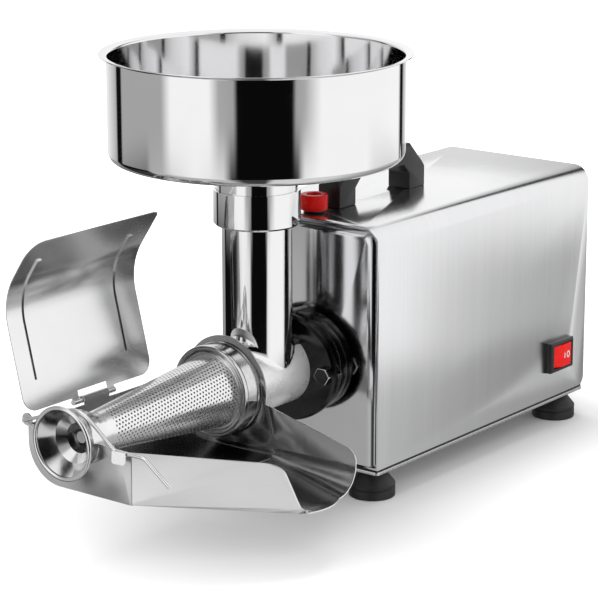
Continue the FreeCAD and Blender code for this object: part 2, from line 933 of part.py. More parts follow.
# ---------------------------------------------------------------- push button
def button_collar():
    """Threaded black bush of the push switch, seated on the cover."""
    body = new_body("button_collar", (0, front + s.button_back, cover_top))
    sketch = new_sketch(body, "XZ")
    bore = s.button_stem_radius + 0.1
    outline(sketch, [
        (bore, -8),
        (s.button_thread_radius, -8),
        (s.button_thread_radius, 0.02),
        (s.button_collar_radius, 0.02),
        (s.button_collar_radius, s.button_collar_height - 1),
        (s.button_collar_radius - 1, s.button_collar_height),
        (bore, s.button_collar_height),
    ])
    turn(sketch)


def reset_button():
    """Red cap with a hollow top, on a stem that presses the switch."""
    body = new_body("reset_button", (0, front + s.button_back, cover_top))
    sketch = new_sketch(body, "XZ")
    low = s.button_gap
    high = low + s.button_height
    floor = high - s.button_recess_depth
    hollow = s.button_collar_height + s.button_gap + 0.4
    outline(sketch, [
        (0, -9.5),
        (s.button_stem_radius, -9.5),
        (s.button_stem_radius, hollow),
        (s.button_radius - s.button_wall, hollow),
        (s.button_radius - s.button_wall, low),
        (s.button_radius, low),
        (s.button_radius, high - 1),
        (s.button_radius - 1, high, 1),
        (s.button_recess_radius, high),
        (s.button_recess_radius, floor),
        (0, floor),
    ])
    turn(sketch)


def button_switch():
    """Body of the push switch, hung from the collar under the cover."""
    body = new_body("button_switch", (0, front + s.button_back, cover_top))
    block = new_sketch(body, "XY", -8.02 - s.button_switch_height)
    r = s.button_switch_side / 2
    box(block, (-r, -r), (r, r))
    pad(block, s.button_switch_height)
    well = new_sketch(body, "XY", -8.02)
    circle(well, 0, 0, s.button_stem_radius + 0.4)
    pocket(well, s.button_gap + 2, back=True)


# ---------------------------------------------------------------- rocker switch
def rocker_place():
    """Centre of the rocker switch on the right face of the cover."""
    return (half_width, half_length - s.rocker_inset, cover_bottom + s.rocker_above_base)


def switch_bezel():
    """Black frame and hollow body of the rocker switch."""
    body = new_body("switch_bezel", rocker_place())
    frame = new_sketch(body, "YZ", 0.02)
    y, z = s.bezel_length / 2, s.bezel_height / 2
    box(frame, (-y, -z), (y, z))
    pad(frame, s.bezel_proud)
    face = lambda p: near(p.x, s.bezel_proud + 0.02)
    soften(body, face, 1.2, "Chamfer")
    block = new_sketch(body, "YZ", -s.bezel_body_depth)
    wall_y, wall_z = s.bezel_opening_length / 2 + 1, s.bezel_opening_height / 2 + 1
    box(block, (-wall_y, -wall_z), (wall_y, wall_z))
    pad(block, s.bezel_body_depth + 1)
    opening = new_sketch(body, "YZ", s.bezel_proud + 1)
    y, z = s.bezel_opening_length / 2, s.bezel_opening_height / 2
    box(opening, (-y, -z), (y, z))
    pocket(opening, s.bezel_proud + 1 + s.bezel_body_depth - 2, back=True)
    seats = new_sketch(body, "XY")
    circle(seats, 0, 0, s.rocker_pin_radius + s.rocker_pin_clear)
    pocket(seats, s.bezel_opening_height + s.rocker_pin_seat * 2 + s.rocker_pin_clear * 2, both=True)


def switch_rocker():
    """Red rocker with two faces that meet at a ridge, tilted to its off position."""
    body = new_body("switch_rocker", rocker_place())
    body.Placement.Rotation = Rotation(Vector(0, 0, 1), -s.rocker_tilt.value)
    side = new_sketch(body, "XY")
    reach, depth = s.rocker_half_length, s.rocker_depth
    outline(side, [
        (-depth, -reach * 0.6),
        (s.rocker_end - 4, -reach),
        (s.rocker_end, -reach),
        (s.rocker_ridge, 0),
        (s.rocker_end, reach),
        (s.rocker_end - 4, reach),
        (-depth, reach * 0.6),
    ])
    pad(side, s.bezel_opening_height - s.rocker_clear * 2, both=True)
    pin = new_sketch(body, "XY")
    circle(pin, 0, 0, s.rocker_pin_radius)
    pad(pin, s.bezel_opening_height + s.rocker_pin_seat * 2, both=True)


# ---------------------------------------------------------------- head
def head_casting():
    """Cast stainless barrel with its flange, thread and feed neck."""
    body = new_body("head_casting", head)
    barrel = new_sketch(body, "YZ")
    shoulder_front = -s.thread_end_out + s.tray_sheet + s.flat_gap
    outline(barrel, [
        (-s.barrel_nose_out, 0),
        (-s.barrel_nose_out, -s.thread_radius + 1),
        (-s.barrel_nose_out + 1, -s.thread_radius),
        (shoulder_front, -s.thread_radius),
        (shoulder_front, -s.shoulder_radius),
        (shoulder_front + s.shoulder_width, -s.shoulder_radius),
        (shoulder_front + s.shoulder_width + 4, -s.barrel_radius),
        (-s.flange_front_out, -s.barrel_radius),
        (-s.flange_front_out, -s.flange_radius + 2),
        (-s.flange_front_out + 2, -s.flange_radius),
        (-s.flange_back_out, -s.flange_radius),
        (-s.flange_back_out, 0),
    ])
    turn(barrel, "H_Axis")
    neck = new_sketch(body, "XZ", -s.neck_out)
    circle_top = s.neck_rise + s.collar_height
    outline(neck, [
        (0, 0),
        (s.neck_radius, 0),
        (s.neck_radius, s.neck_rise),
        (s.collar_radius - 1.5, s.neck_rise),
        (s.collar_radius, s.neck_rise + 1.5),
        (s.collar_radius, circle_top),
        (0, circle_top),
    ])
    turn(neck)
    junction = lambda p: 0 < p.z < s.barrel_radius.value + 0.1 and near(
        math.hypot(p.x, p.y + s.neck_out.value), s.neck_radius) and near(
        math.hypot(p.x, p.z), s.barrel_radius)
    soften(body, junction, s.neck_flare)
    bore = new_sketch(body, "XZ", -s.barrel_nose_out - 1)
    circle(bore, 0, 0, s.barrel_bore_radius)
    pocket(bore, s.barrel_nose_out, back=True)
    feed = new_sketch(body, "XZ", -s.neck_out)
    outline(feed, [
        (0, 0),
        (s.barrel_bore_radius - 2, 0),
        (s.barrel_bore_radius - 2, s.barrel_radius + 2),
        (s.neck_radius - s.neck_wall, s.barrel_radius + 6),
        (s.neck_radius - s.neck_wall, s.neck_rise + s.collar_wall),
        (s.collar_radius - s.collar_wall, s.neck_rise + s.collar_wall),
        (s.collar_radius - s.collar_wall, circle_top + 1),
        (0, circle_top + 1),
    ])
    turn(feed, kind="Groove")
    hole = new_sketch(body, "XZ", -s.flange_front_out - 1)
    circle(hole, s.flange_bolt_pitch_radius, 0, s.flange_bolt_radius + s.bolt_clearance)
    cut = pocket(hole, s.flange_front_out - s.flange_back_out + 2, back=True)
    around(body, [cut], "Y_Axis", s.flange_bolt_count)


def gearbox_flange():
    """Cast flange on the front panel that carries the head, bearing and seal."""
    body = new_body("gearbox_flange", head)
    profile = new_sketch(body, "YZ")
    face = -s.flange_back_out + s.flat_gap
    bearing_front = -s.bearing_width
    seal_front = bearing_front - s.seal_width
    outline(profile, [
        (0, s.bearing_radius),
        (0, s.gear_flange_radius),
        (-s.gear_flange_thickness + 2, s.gear_flange_radius),
        (-s.gear_flange_thickness, s.gear_flange_radius - 2),
        (-s.gear_flange_thickness, s.gear_boss_radius),
        (face, s.gear_boss_radius),
        (face, s.shaft_radius + 1),
        (seal_front, s.shaft_radius + 1),
        (seal_front, s.seal_radius),
        (bearing_front, s.seal_radius),
        (bearing_front, s.bearing_radius),
    ])
    turn(profile, "H_Axis")
    hole = new_sketch(body, "XZ", 0)
    circle(hole, s.flange_bolt_pitch_radius, 0, s.flange_bolt_radius + 0.05)
    cut = pocket(hole, s.gear_flange_thickness + 1)
    around(body, [cut], "Y_Axis", s.flange_bolt_count)
    screws = new_sketch(body, "XZ", 0)
    for x, z in flange_screw_places():
        circle(screws, x, z, 2.6)
    pocket(screws, s.gear_flange_thickness + 1)


def flange_screw_places():
    """Centres of the screws from the gearbox flange into the gearbox, above and
    below the axis, midway between the bolts."""
    return [(0, s.flange_bolt_pitch_radius), (0, -s.flange_bolt_pitch_radius)]


def flange_screws():
    """Cap screws that draw the flange and the gearbox together on the panel."""
    body = new_body("flange_screws", head)
    reach = s.flange_bolt_pitch_radius
    face = -s.gear_flange_thickness - 0.02
    top = new_sketch(body, "XZ", face)
    circle(top, 0, reach, 4.2)
    made = [pad(top, 5)]
    shank = new_sketch(body, "XZ", face)
    circle(shank, 0, reach, 2.5)
    depth = s.gear_flange_thickness + s.panel_sheet + s.gearbox_wall
    made.append(pad(shank, depth - 0.2, back=True))
    around(body, made, "Y_Axis", s.flange_bolt_count)


def flange_bolts():
    """Hexagon bolts through the head's flange."""
    body = new_body("flange_bolts", head)
    face = -s.flange_front_out - 0.02
    top = new_sketch(body, "XZ", face, (s.flange_bolt_pitch_radius, 0))
    hexagon(top, s.flange_bolt_across)
    made = [pad(top, s.flange_bolt_head)]
    shank = new_sketch(body, "XZ", face, (s.flange_bolt_pitch_radius, 0))
    circle(shank, 0, 0, s.flange_bolt_radius)
    made.append(pad(shank, s.flange_front_out - 1, back=True))
    around(body, made, "Y_Axis", s.flange_bolt_count)


def flange_nuts():
    """Nuts that clamp the head's flange from behind."""
    body = new_body("flange_nuts", head)
    face = -s.flange_back_out + 0.02
    ring = new_sketch(body, "XZ", face, (s.flange_bolt_pitch_radius, 0))
    hexagon(ring, s.flange_bolt_across)
    circle(ring, 0, 0, s.flange_bolt_radius + 0.05)
    around(body, [pad(ring, s.flange_nut, back=True)], "Y_Axis", s.flange_bolt_count)


def ring_nut():
    """Polished ring nut that clamps the screen on the barrel."""
    body = new_body("ring_nut", head)
    profile = new_sketch(body, "YZ")
    back = -s.thread_end_out - s.flat_gap
    face = back - s.ring_length
    bore = s.thread_radius + s.thread_clearance
    lip = -s.barrel_nose_out - s.screen_flange - s.flat_gap
    outline(profile, [
        (back, bore),
        (back, s.ring_radius - 0.8),
        (back - 0.8, s.ring_radius, -0.8),
        (face + 2, s.ring_radius),
        (face, s.ring_radius - 2, -2),
        (face + 0.2, s.ring_radius - 2 - s.ring_bead),
        (face + 0.8, s.ring_radius - 2.4 - s.ring_bead),
        (face + 0.8, s.ring_opening_radius),
        (lip, s.ring_opening_radius),
        (lip, bore),
    ])
    turn(profile, "H_Axis")


def screen_radius_at(out):
    """Outer radius of the screen at a distance in front of the panel."""
    start = s.barrel_nose_out + s.screen_flange
    fall = (s.screen_radius - s.screen_tip_radius) / (s.screen_tip_out - start)
    return s.screen_radius - fall * (out - start)


def screen_cone():
    """Perforated cone, rolled from punched sheet, with a flange at its wide end.
    The cone carries rows of punched holes, every other row half a step round."""
    body = new_body("screen_blank", head)
    profile = new_sketch(body, "YZ")
    back = -s.barrel_nose_out - 0.02
    face = back - s.screen_flange
    tip = -s.screen_tip_out
    end = tip - s.screen_end_length
    bore = s.screen_radius - s.screen_wall
    tip_bore = s.screen_tip_radius - s.screen_wall
    outline(profile, [
        (back, bore),
        (back, s.thread_radius),
        (face, s.thread_radius),
        (face, s.screen_radius),
        (tip, s.screen_tip_radius),
        (end, s.screen_tip_radius),
        (end, tip_bore),
        (tip, tip_bore),
        (face, bore),
    ])
    turn(profile, "H_Axis")
    doc.recompute()
    start = s.barrel_nose_out.value + s.screen_flange.value + s.screen_hole_margin.value
    stop = s.screen_tip_out.value - s.screen_hole_margin.value
    rows = int(s.screen_hole_rows.value)
    holes = int(s.screen_holes_round.value)
    radius = s.screen_hole_across.value / math.sqrt(3)
    depth = s.screen_wall.value * 4
    punches = []
    for row in range(rows):
        out = start + (stop - start) * row / (rows - 1)
        outer = screen_radius_at(Size.of(out)).value + depth / 2
        for hole in range(holes):
            angle = 360.0 / holes * (hole + 0.5 * (row % 2))
            punch = Part.makePolygon([
                Vector(radius * math.cos(PI * k / 3), radius * math.sin(PI * k / 3), 0)
                for k in range(7)
            ])
            punch = Part.Face(punch).extrude(Vector(0, 0, -depth))
            punch.Placement = Placement(Vector(0, -out, 0), Rotation(Vector(0, 1, 0), angle))
            punch.translate(Rotation(Vector(0, 1, 0), angle).multVec(Vector(0, 0, outer)))
            punches.append(punch)
    tool = doc.addObject("Part::Feature", "screen_punches")
    tool.Shape = Part.makeCompound(punches)
    tool.Placement = body.Placement
    cut = doc.addObject("Part::Cut", "screen_cone")
    cut.Label = "screen_cone"
    cut.Base = body
    cut.Tool = tool


def outlet_horn():
    """Turned outlet for skins and seeds, with a flared mouth and a rolled bead."""
    body = new_body("outlet_horn", head)
    profile = new_sketch(body, "YZ")
    spigot = s.screen_tip_radius - s.screen_wall - s.horn_spigot_clear
    seat = -s.screen_tip_out - s.screen_end_length - 0.05
    mouth = -s.horn_mouth_out
    outline(profile, [
        (-s.screen_tip_out - 1, s.horn_throat_radius),
        (-s.screen_tip_out - 1, spigot),
        (seat, spigot),
        (seat, s.horn_neck_radius),
        (-s.horn_collar_start_out, s.horn_neck_radius),
        (-s.horn_collar_start_out - 1, s.horn_collar_radius),
        (-s.horn_collar_end_out, s.horn_collar_radius),
        (mouth, s.horn_mouth_radius),
        (mouth, s.horn_mouth_radius - s.horn_wall),
        (-s.horn_collar_end_out, s.horn_collar_radius - s.horn_wall * 1.6),
        (-s.horn_collar_end_out + 5.5, s.horn_throat_radius),
    ])
    turn(profile, "H_Axis")
    bead = new_sketch(body, "YZ")
    circle(bead, mouth, s.horn_mouth_radius, s.horn_bead)
    turn(bead, "H_Axis")


# ---------------------------------------------------------------- auger and drive
def auger():
    """Screw that carries the fruit into the cone and presses it on the holes."""
    body = new_body("auger", head)
    core = new_sketch(body, "YZ")
    back = -s.auger_back_out - 1
    disc = back - s.auger_disc
    inner = s.barrel_bore_radius - s.auger_clearance
    tip = -s.auger_tip_out
    outline(core, [
        (back, 0),
        (back, inner),
        (disc, inner),
        (disc - 3, s.auger_core_radius),
        (-s.barrel_nose_out, s.auger_neck_radius + 1.5),
        (tip, s.auger_tip_radius),
        (tip - 1, s.auger_pin_radius),
        (tip - s.auger_pin_length, s.auger_pin_radius),
        (tip - s.auger_pin_length, 0),
    ])
    turn(core, "H_Axis")
    flight = new_sketch(body, "YZ")
    half = s.flight_thickness / 2
    wide = s.screen_radius + 1
    start = disc - 3 - s.auger_pitch * 0.1
    box(flight, (start - half, 4), (start + half, wide))
    helix = feature(body, "AdditiveHelix", flight)
    helix.ReferenceAxis = (flight, ["H_Axis"])
    helix.Mode = "pitch-height-angle"
    drive(helix, "Pitch", s.auger_pitch)
    drive(helix, "Height", s.auger_tip_out - s.auger_back_out - s.auger_pitch * 0.5)
    helix.Reversed = True
    trim = new_sketch(body, "YZ")
    nose = -s.barrel_nose_out - s.screen_flange
    cone = s.screen_radius - s.screen_wall - s.auger_clearance
    cone_tip = s.screen_tip_radius - s.screen_wall - s.auger_clearance
    outline(trim, [
        (back + 2, inner),
        (nose, inner),
        (nose - 1, cone),
        (-s.screen_tip_out, cone_tip),
        (-s.screen_tip_out, s.auger_tip_radius),
        (tip - 30, s.auger_tip_radius),
        (tip - 30, wide + 8),
        (back + 2, wide + 8),
    ])
    turn(trim, "H_Axis", "Groove")
    socket = new_sketch(body, "XZ", back)
    half_side = s.tang_side / 2 + s.tang_clearance
    box(socket, (-half_side, -half_side), (half_side, half_side))
    pocket(socket, s.tang_length + 0.5)


def shaft_end():
    """Where the output shaft ends, just short of the floor of its rear bearing's seat."""
    return s.gearbox_depth + s.bearing_width - s.shaft_end_gap


def output_shaft():
    """Shaft with a square tang that turns the auger."""
    body = new_body("output_shaft", head)
    journal = new_sketch(body, "YZ")
    start = -s.auger_back_out
    outline(journal, [
        (start, 0),
        (start, s.shaft_radius - 0.5),
        (start + 0.5, s.shaft_radius),
        (shaft_end(), s.shaft_radius),
        (shaft_end(), 0),
    ])
    turn(journal, "H_Axis")
    tang = new_sketch(body, "XZ", start + 1)
    half = s.tang_side / 2
    box(tang, (-half, -half), (half, half))
    pad(tang, s.tang_length + 1)


def bearing(label, at, outer, bore, width):
    """A sealed ball bearing, drawn as its two rings and the shield between them."""
    body = new_body(label, at)
    profile = new_sketch(body, "YZ")
    third = (outer - bore) / 3
    outline(profile, [
        (0, bore),
        (0, bore + third),
        (0.5, bore + third),
        (0.5, outer - third),
        (0, outer - third),
        (0, outer),
        (width, outer),
        (width, outer - third),
        (width - 0.5, outer - third),
        (width - 0.5, bore + third),
        (width, bore + third),
        (width, bore),
    ])
    turn(profile, "H_Axis")
    return body


def drive_bearings():
    """Bearings of the output shaft, in the flange and in the gearbox cover."""
    bore = s.shaft_radius + s.shaft_clearance
    outer = s.bearing_radius - 0.02
    at = (0, front - s.bearing_width + 0.02, s.axis_height)
    bearing("front_bearing", at, outer, bore, s.bearing_width - 0.04)
    at = (0, front + s.gearbox_depth + 0.02, s.axis_height)
    bearing("rear_bearing", at, outer, bore, s.bearing_width - 0.04)


def shaft_seal():
    """Rubber lip seal in front of the front bearing."""
    body = new_body("shaft_seal", head)
    profile = new_sketch(body, "YZ")
    back = -s.bearing_width
    low = s.shaft_radius + s.shaft_clearance
    outline(profile, [
        (back, s.seal_radius - 0.05),
        (back - s.seal_width + 0.05, s.seal_radius - 0.05),
        (back - s.seal_width + 0.05, low),
        (back - s.seal_width + 1.5, low),
        (back - s.seal_width + 2.5, s.shaft_radius + 3),
        (back, s.shaft_radius + 3),
    ])
    turn(profile, "H_Axis")


# ---------------------------------------------------------------- gearbox
def lay_place():
    """Place of the layshaft from the output axis: both centre distances hold."""
    low = (s.drive_teeth + s.drive_pinion_teeth) * s.drive_module / 2
    high = (s.motor_gear_teeth + s.motor_pinion_teeth) * s.motor_module / 2
    rise = (low * low - high * high + s.motor_rise * s.motor_rise) / (s.motor_rise * 2)
    return root(low * low - rise * rise), rise


def involute_points(teeth, module, backlash):
    """Points of a spur gear's outline, three along each side of a tooth."""
    pitch = teeth * module / 2
    ground = pitch * math.cos(math.radians(20))
    tip = pitch + module * 0.92
    foot = pitch - module * 1.2

    def half_angle(radius):
        """Half of the tooth's angle at a radius."""
        centre = (PI * module / 2 - backlash / 2) / (2 * pitch)
        flank = math.tan(math.acos(ground / pitch)) - math.acos(ground / pitch)
        if radius <= ground:
            return centre + flank
        lean = math.acos(ground / radius)
        return centre + flank - (math.tan(lean) - lean)

    radii = [max(foot, 0.1), max(ground, foot + 0.05), pitch, tip]
    points = []
    for tooth in range(teeth):
        middle = 2 * PI * tooth / teeth
        for sign, order in ((-1, radii), (1, reversed(radii))):
            for radius in order:
                angle = middle + sign * half_angle(radius)
                points.append(Vector(radius * math.sin(angle), 0, radius * math.cos(angle)))
    return points


def gear(label, teeth, module, at, width, bore, phase):
    """A spur gear about Y.  Its outline comes from the tooth count and module, and
    phase, in degrees about Y, brings its teeth into mesh."""
    points = involute_points(int(teeth.value), module.value, s.gear_backlash.value)
    blank = Part.Face(Part.makePolygon(points + points[:1]))
    wheel = blank.extrude(Vector(0, width.value, 0))
    if bore:
        hole = Part.makeCylinder(bore.value, width.value * 3,
                                 Vector(0, -width.value, 0), Vector(0, 1, 0))
        wheel = wheel.cut(hole)
    made = doc.addObject("Part::Feature", label)
    made.Label = label
    made.Shape = wheel
    made.Placement = Placement(Vector(*[Size.of(v).value for v in at]),
                               Rotation(Vector(0, 1, 0), phase))
    return made


def gears():
    """Drive gear on the output shaft, both gears of the layshaft, motor pinion.
    Angles are measured about +Y from +Z."""
    lay_x, lay_z = lay_place()
    to_lay = math.degrees(math.atan2(lay_x.value, lay_z.value))
    to_motor = math.degrees(math.atan2(-lay_x.value, (s.motor_rise - lay_z).value))
    low = front + s.gearbox_wall + s.gear_space * 3
    high = low + s.gear_width + s.gear_space
    axis = s.axis_height
    gap = s.shaft_clearance
    gear("output_gear", s.drive_teeth, s.drive_module, (0, low, axis), s.gear_width,
         s.shaft_radius + gap, to_lay)
    half_step = 180.0 / s.drive_pinion_teeth.value
    gear("layshaft_pinion", s.drive_pinion_teeth, s.drive_module,
         (lay_x, low - 0.5, axis + lay_z), s.gear_width + 1, s.layshaft_radius + gap,
         to_lay + 180 + half_step)
    gear("layshaft_gear", s.motor_gear_teeth, s.motor_module,
         (lay_x, high, axis + lay_z), s.gear_width * 0.7, s.layshaft_radius + gap, to_motor)
    half_step = 180.0 / s.motor_pinion_teeth.value
    gear("motor_pinion", s.motor_pinion_teeth, s.motor_module,
         (0, high - 0.5, axis + s.motor_rise), s.gear_width * 0.7 + 1,
         s.motor_shaft_radius + gap, to_motor + 180 + half_step)


def layshaft():
    """Short shaft between the two gear stages, with a bearing at each end."""
    lay_x, lay_z = lay_place()
    at = (lay_x, front, s.axis_height + lay_z)
    body = new_body("layshaft", at)
    rod = new_sketch(body, "XZ", s.panel_sheet + s.gearbox_wall + 1)
    circle(rod, 0, 0, s.layshaft_radius)
    pad(rod, s.gearbox_depth + 8 - s.panel_sheet - s.gearbox_wall - 1, back=True)
    bore = s.layshaft_radius + s.shaft_clearance
    outer = s.lay_bearing_radius - 0.02
    y = front + s.panel_sheet + s.gearbox_wall + 0.02
    bearing("layshaft_front_bearing", (lay_x, y, at[2]), outer, bore, s.lay_bearing_width)
    y = front + s.gearbox_depth + 0.02
    bearing("layshaft_rear_bearing", (lay_x, y, at[2]), outer, bore, s.lay_bearing_width - 0.04)


def gearbox_outline(sketch, inset):
    """Outline of the gearbox, large enough for the three shafts."""
    lay_x, lay_z = lay_place()
    big = s.drive_module * (s.drive_teeth / 2 + 1) + s.gearbox_margin
    side = lay_x + s.motor_module * (s.motor_gear_teeth / 2 + 1) + s.gearbox_margin
    top = s.motor_rise + s.motor_module * s.motor_pinion_teeth / 2 + s.gearbox_margin * 2
    r = s.gearbox_corner - inset
    left, right, low, high = -big + inset, side - inset, -big + inset, top - inset
    outline(sketch, [
        (left + r, low, r),
        (right - r, low),
        (right, low + r, r),
        (right, high - r),
        (right - r, high, r),
        (left + r, high),
        (left, high - r, r),
        (left, low + r),
    ])


def gearbox_case():
    """Cast gearbox behind the front panel, open at the back."""
    body = new_body("gearbox_case", head)
    block = new_sketch(body, "XZ", s.panel_sheet)
    gearbox_outline(block, Size.of(0))
    pad(block, s.gearbox_depth - s.panel_sheet, back=True)
    hollow = new_sketch(body, "XZ", s.panel_sheet + s.gearbox_wall)
    gearbox_outline(hollow, s.gearbox_wall)
    pocket(hollow, s.gearbox_depth, back=True)
    lay_x, lay_z = lay_place()
    boss = new_sketch(body, "XZ", s.panel_sheet + s.gearbox_wall)
    circle(boss, lay_x, lay_z, s.lay_bearing_radius + 3)
    pad(boss, s.lay_bearing_width, back=True)
    seat = new_sketch(body, "XZ", s.panel_sheet + s.gearbox_wall)
    circle(seat, lay_x, lay_z, s.lay_bearing_radius)
    pocket(seat, s.lay_bearing_width + 1, back=True)
    hole = new_sketch(body, "XZ", s.panel_sheet)
    circle(hole, 0, 0, s.shaft_radius + 3)
    pocket(hole, s.gearbox_wall + 1, back=True)
    screws = new_sketch(body, "XZ", s.panel_sheet)
    for x, z in flange_screw_places():
        circle(screws, x, z, 2.55)
    pocket(screws, s.gearbox_wall + 1, back=True)


def gearbox_cover():
    """Rear plate of the gearbox, with the rear bearing seats and the motor's hole."""
    body = new_body("gearbox_cover", head)
    plate = new_sketch(body, "XZ", s.gearbox_depth)
    gearbox_outline(plate, Size.of(0))
    pad(plate, s.gearbox_cover, back=True)
    lay_x, lay_z = lay_place()
    seats = new_sketch(body, "XZ", s.gearbox_depth)
    circle(seats, 0, 0, s.bearing_radius)
    pocket(seats, s.bearing_width, back=True)
    lay_seat = new_sketch(body, "XZ", s.gearbox_depth)
    circle(lay_seat, lay_x, lay_z, s.lay_bearing_radius)
    pocket(lay_seat, s.lay_bearing_width, back=True)
    hole = new_sketch(body, "XZ", s.gearbox_depth)
    circle(hole, 0, s.motor_rise, s.motor_module * s.motor_pinion_teeth / 2 + 3)
    pocket(hole, s.gearbox_cover + 1, back=True)


# ---------------------------------------------------------------- motor
def motor_place():
    """Front end of the motor, on the gearbox cover."""
    return (0, front + s.gearbox_depth + s.gearbox_cover, s.axis_height + s.motor_rise)


def motor_case():
    """Motor can with its end shields and the stator's bore."""
    body = new_body("motor_case", motor_place())
    profile = new_sketch(body, "YZ")
    length, wall = s.motor_length, s.motor_wall
    hole = s.motor_shaft_radius + 3
    rotor_start = (length - s.rotor_length) / 2
    outline(profile, [
        (0.02, hole),
        (0.02, s.motor_radius - 3),
        (3, s.motor_radius),
        (length - 3, s.motor_radius),
        (length, s.motor_radius - 3),
        (length, hole),
        (length - wall, hole),
        (length - wall, s.motor_radius - wall),
        (length - rotor_start, s.motor_radius - wall),
        (length - rotor_start, s.stator_bore_radius),
        (rotor_start, s.stator_bore_radius),
        (rotor_start, s.motor_radius - wall),
        (wall, s.motor_radius - wall),
        (wall, hole),
    ])
    turn(profile, "H_Axis")


def motor_bearings():
    """Bearings of the motor shaft in the two end shields."""
    x, y, z = motor_place()
    bore = s.motor_shaft_radius + s.shaft_clearance
    outer = s.motor_shaft_radius + 3 - 0.02
    bearing("motor_front_bearing", (x, y + 0.1, z), outer, bore, s.motor_wall - 0.2)
    bearing("motor_rear_bearing", (x, y + s.motor_length - s.motor_wall + 0.1, z),
            outer, bore, s.motor_wall - 0.2)


def motor_rotor():
    """Rotor on its shaft."""
    body = new_body("motor_rotor", motor_place())
    profile = new_sketch(body, "YZ")
    start = (s.motor_length - s.rotor_length) / 2
    nose = -s.gearbox_cover - s.gear_width * 0.7 - s.gear_space - 1
    tail = s.motor_length + s.fan_width + 4
    rotor = s.stator_bore_radius - s.air_gap
    outline(profile, [
        (nose, 0),
        (nose, s.motor_shaft_radius),
        (start, s.motor_shaft_radius),
        (start, rotor),
        (s.motor_length - start, rotor),
        (s.motor_length - start, s.motor_shaft_radius),
        (tail, s.motor_shaft_radius),
        (tail, 0),
    ])
    turn(profile, "H_Axis")


def cooling_fan():
    """Plastic fan on the motor shaft."""
    x, y, z = motor_place()
    body = new_body("cooling_fan", (x, y + s.motor_length + 2, z))
    hub = new_sketch(body, "XZ")
    circle(hub, 0, 0, s.motor_shaft_radius + 4)
    pad(hub, s.fan_width, back=True)
    blade = new_sketch(body, "XZ")
    box(blade, (-1, s.motor_shaft_radius + 2), (1, s.fan_radius))
    around(body, [pad(blade, s.fan_width, back=True)], "Y_Axis", s.fan_blades)
    bore = new_sketch(body, "XZ")
    circle(bore, 0, 0, s.motor_shaft_radius + s.shaft_clearance)
    pocket(bore, s.fan_width + 1, back=True)


def motor_cradle():
    """Bent steel bracket that stands on the base plate and holds the motor."""
    x, y, z = motor_place()
    body = new_body("motor_cradle", (0, y + s.motor_length / 2, base_top))
    profile = new_sketch(body, "XZ")
    reach = s.cradle_width / 2
    t = s.cradle_sheet
    drop = root(s.motor_radius * s.motor_radius - reach * reach)
    bed = z - base_top - s.motor_radius - 0.3
    side_top = z - base_top - drop - 4
    outline(profile, [
        (-reach - 16, 0),
        (-reach + t, 0),
        (-reach + t, bed - t),
        (reach - t, bed - t),
        (reach - t, 0),
        (reach + 16, 0),
        (reach + 16, t),
        (reach, t),
        (reach, side_top),
        (reach - t, side_top),
        (reach - t, bed),
        (-reach + t, bed),
        (-reach + t, side_top),
        (-reach, side_top),
        (-reach, t),
        (-reach - 16, t),
    ])
    pad(profile, s.cradle_width, both=True)


def run_capacitor():
    """Capacitor of the motor, lying on the base plate."""
    at = (-half_width + 30, half_length - s.capacitor_inset, base_top + s.capacitor_radius + 0.05)
    body = new_body("run_capacitor", at)
    can = new_sketch(body, "XZ")
    circle(can, 0, 0, s.capacitor_radius)
    pad(can, s.capacitor_length, back=True)
    rim = lambda p: near(p.y, 0) or near(p.y, s.capacitor_length)
    soften(body, rim, 1.5)


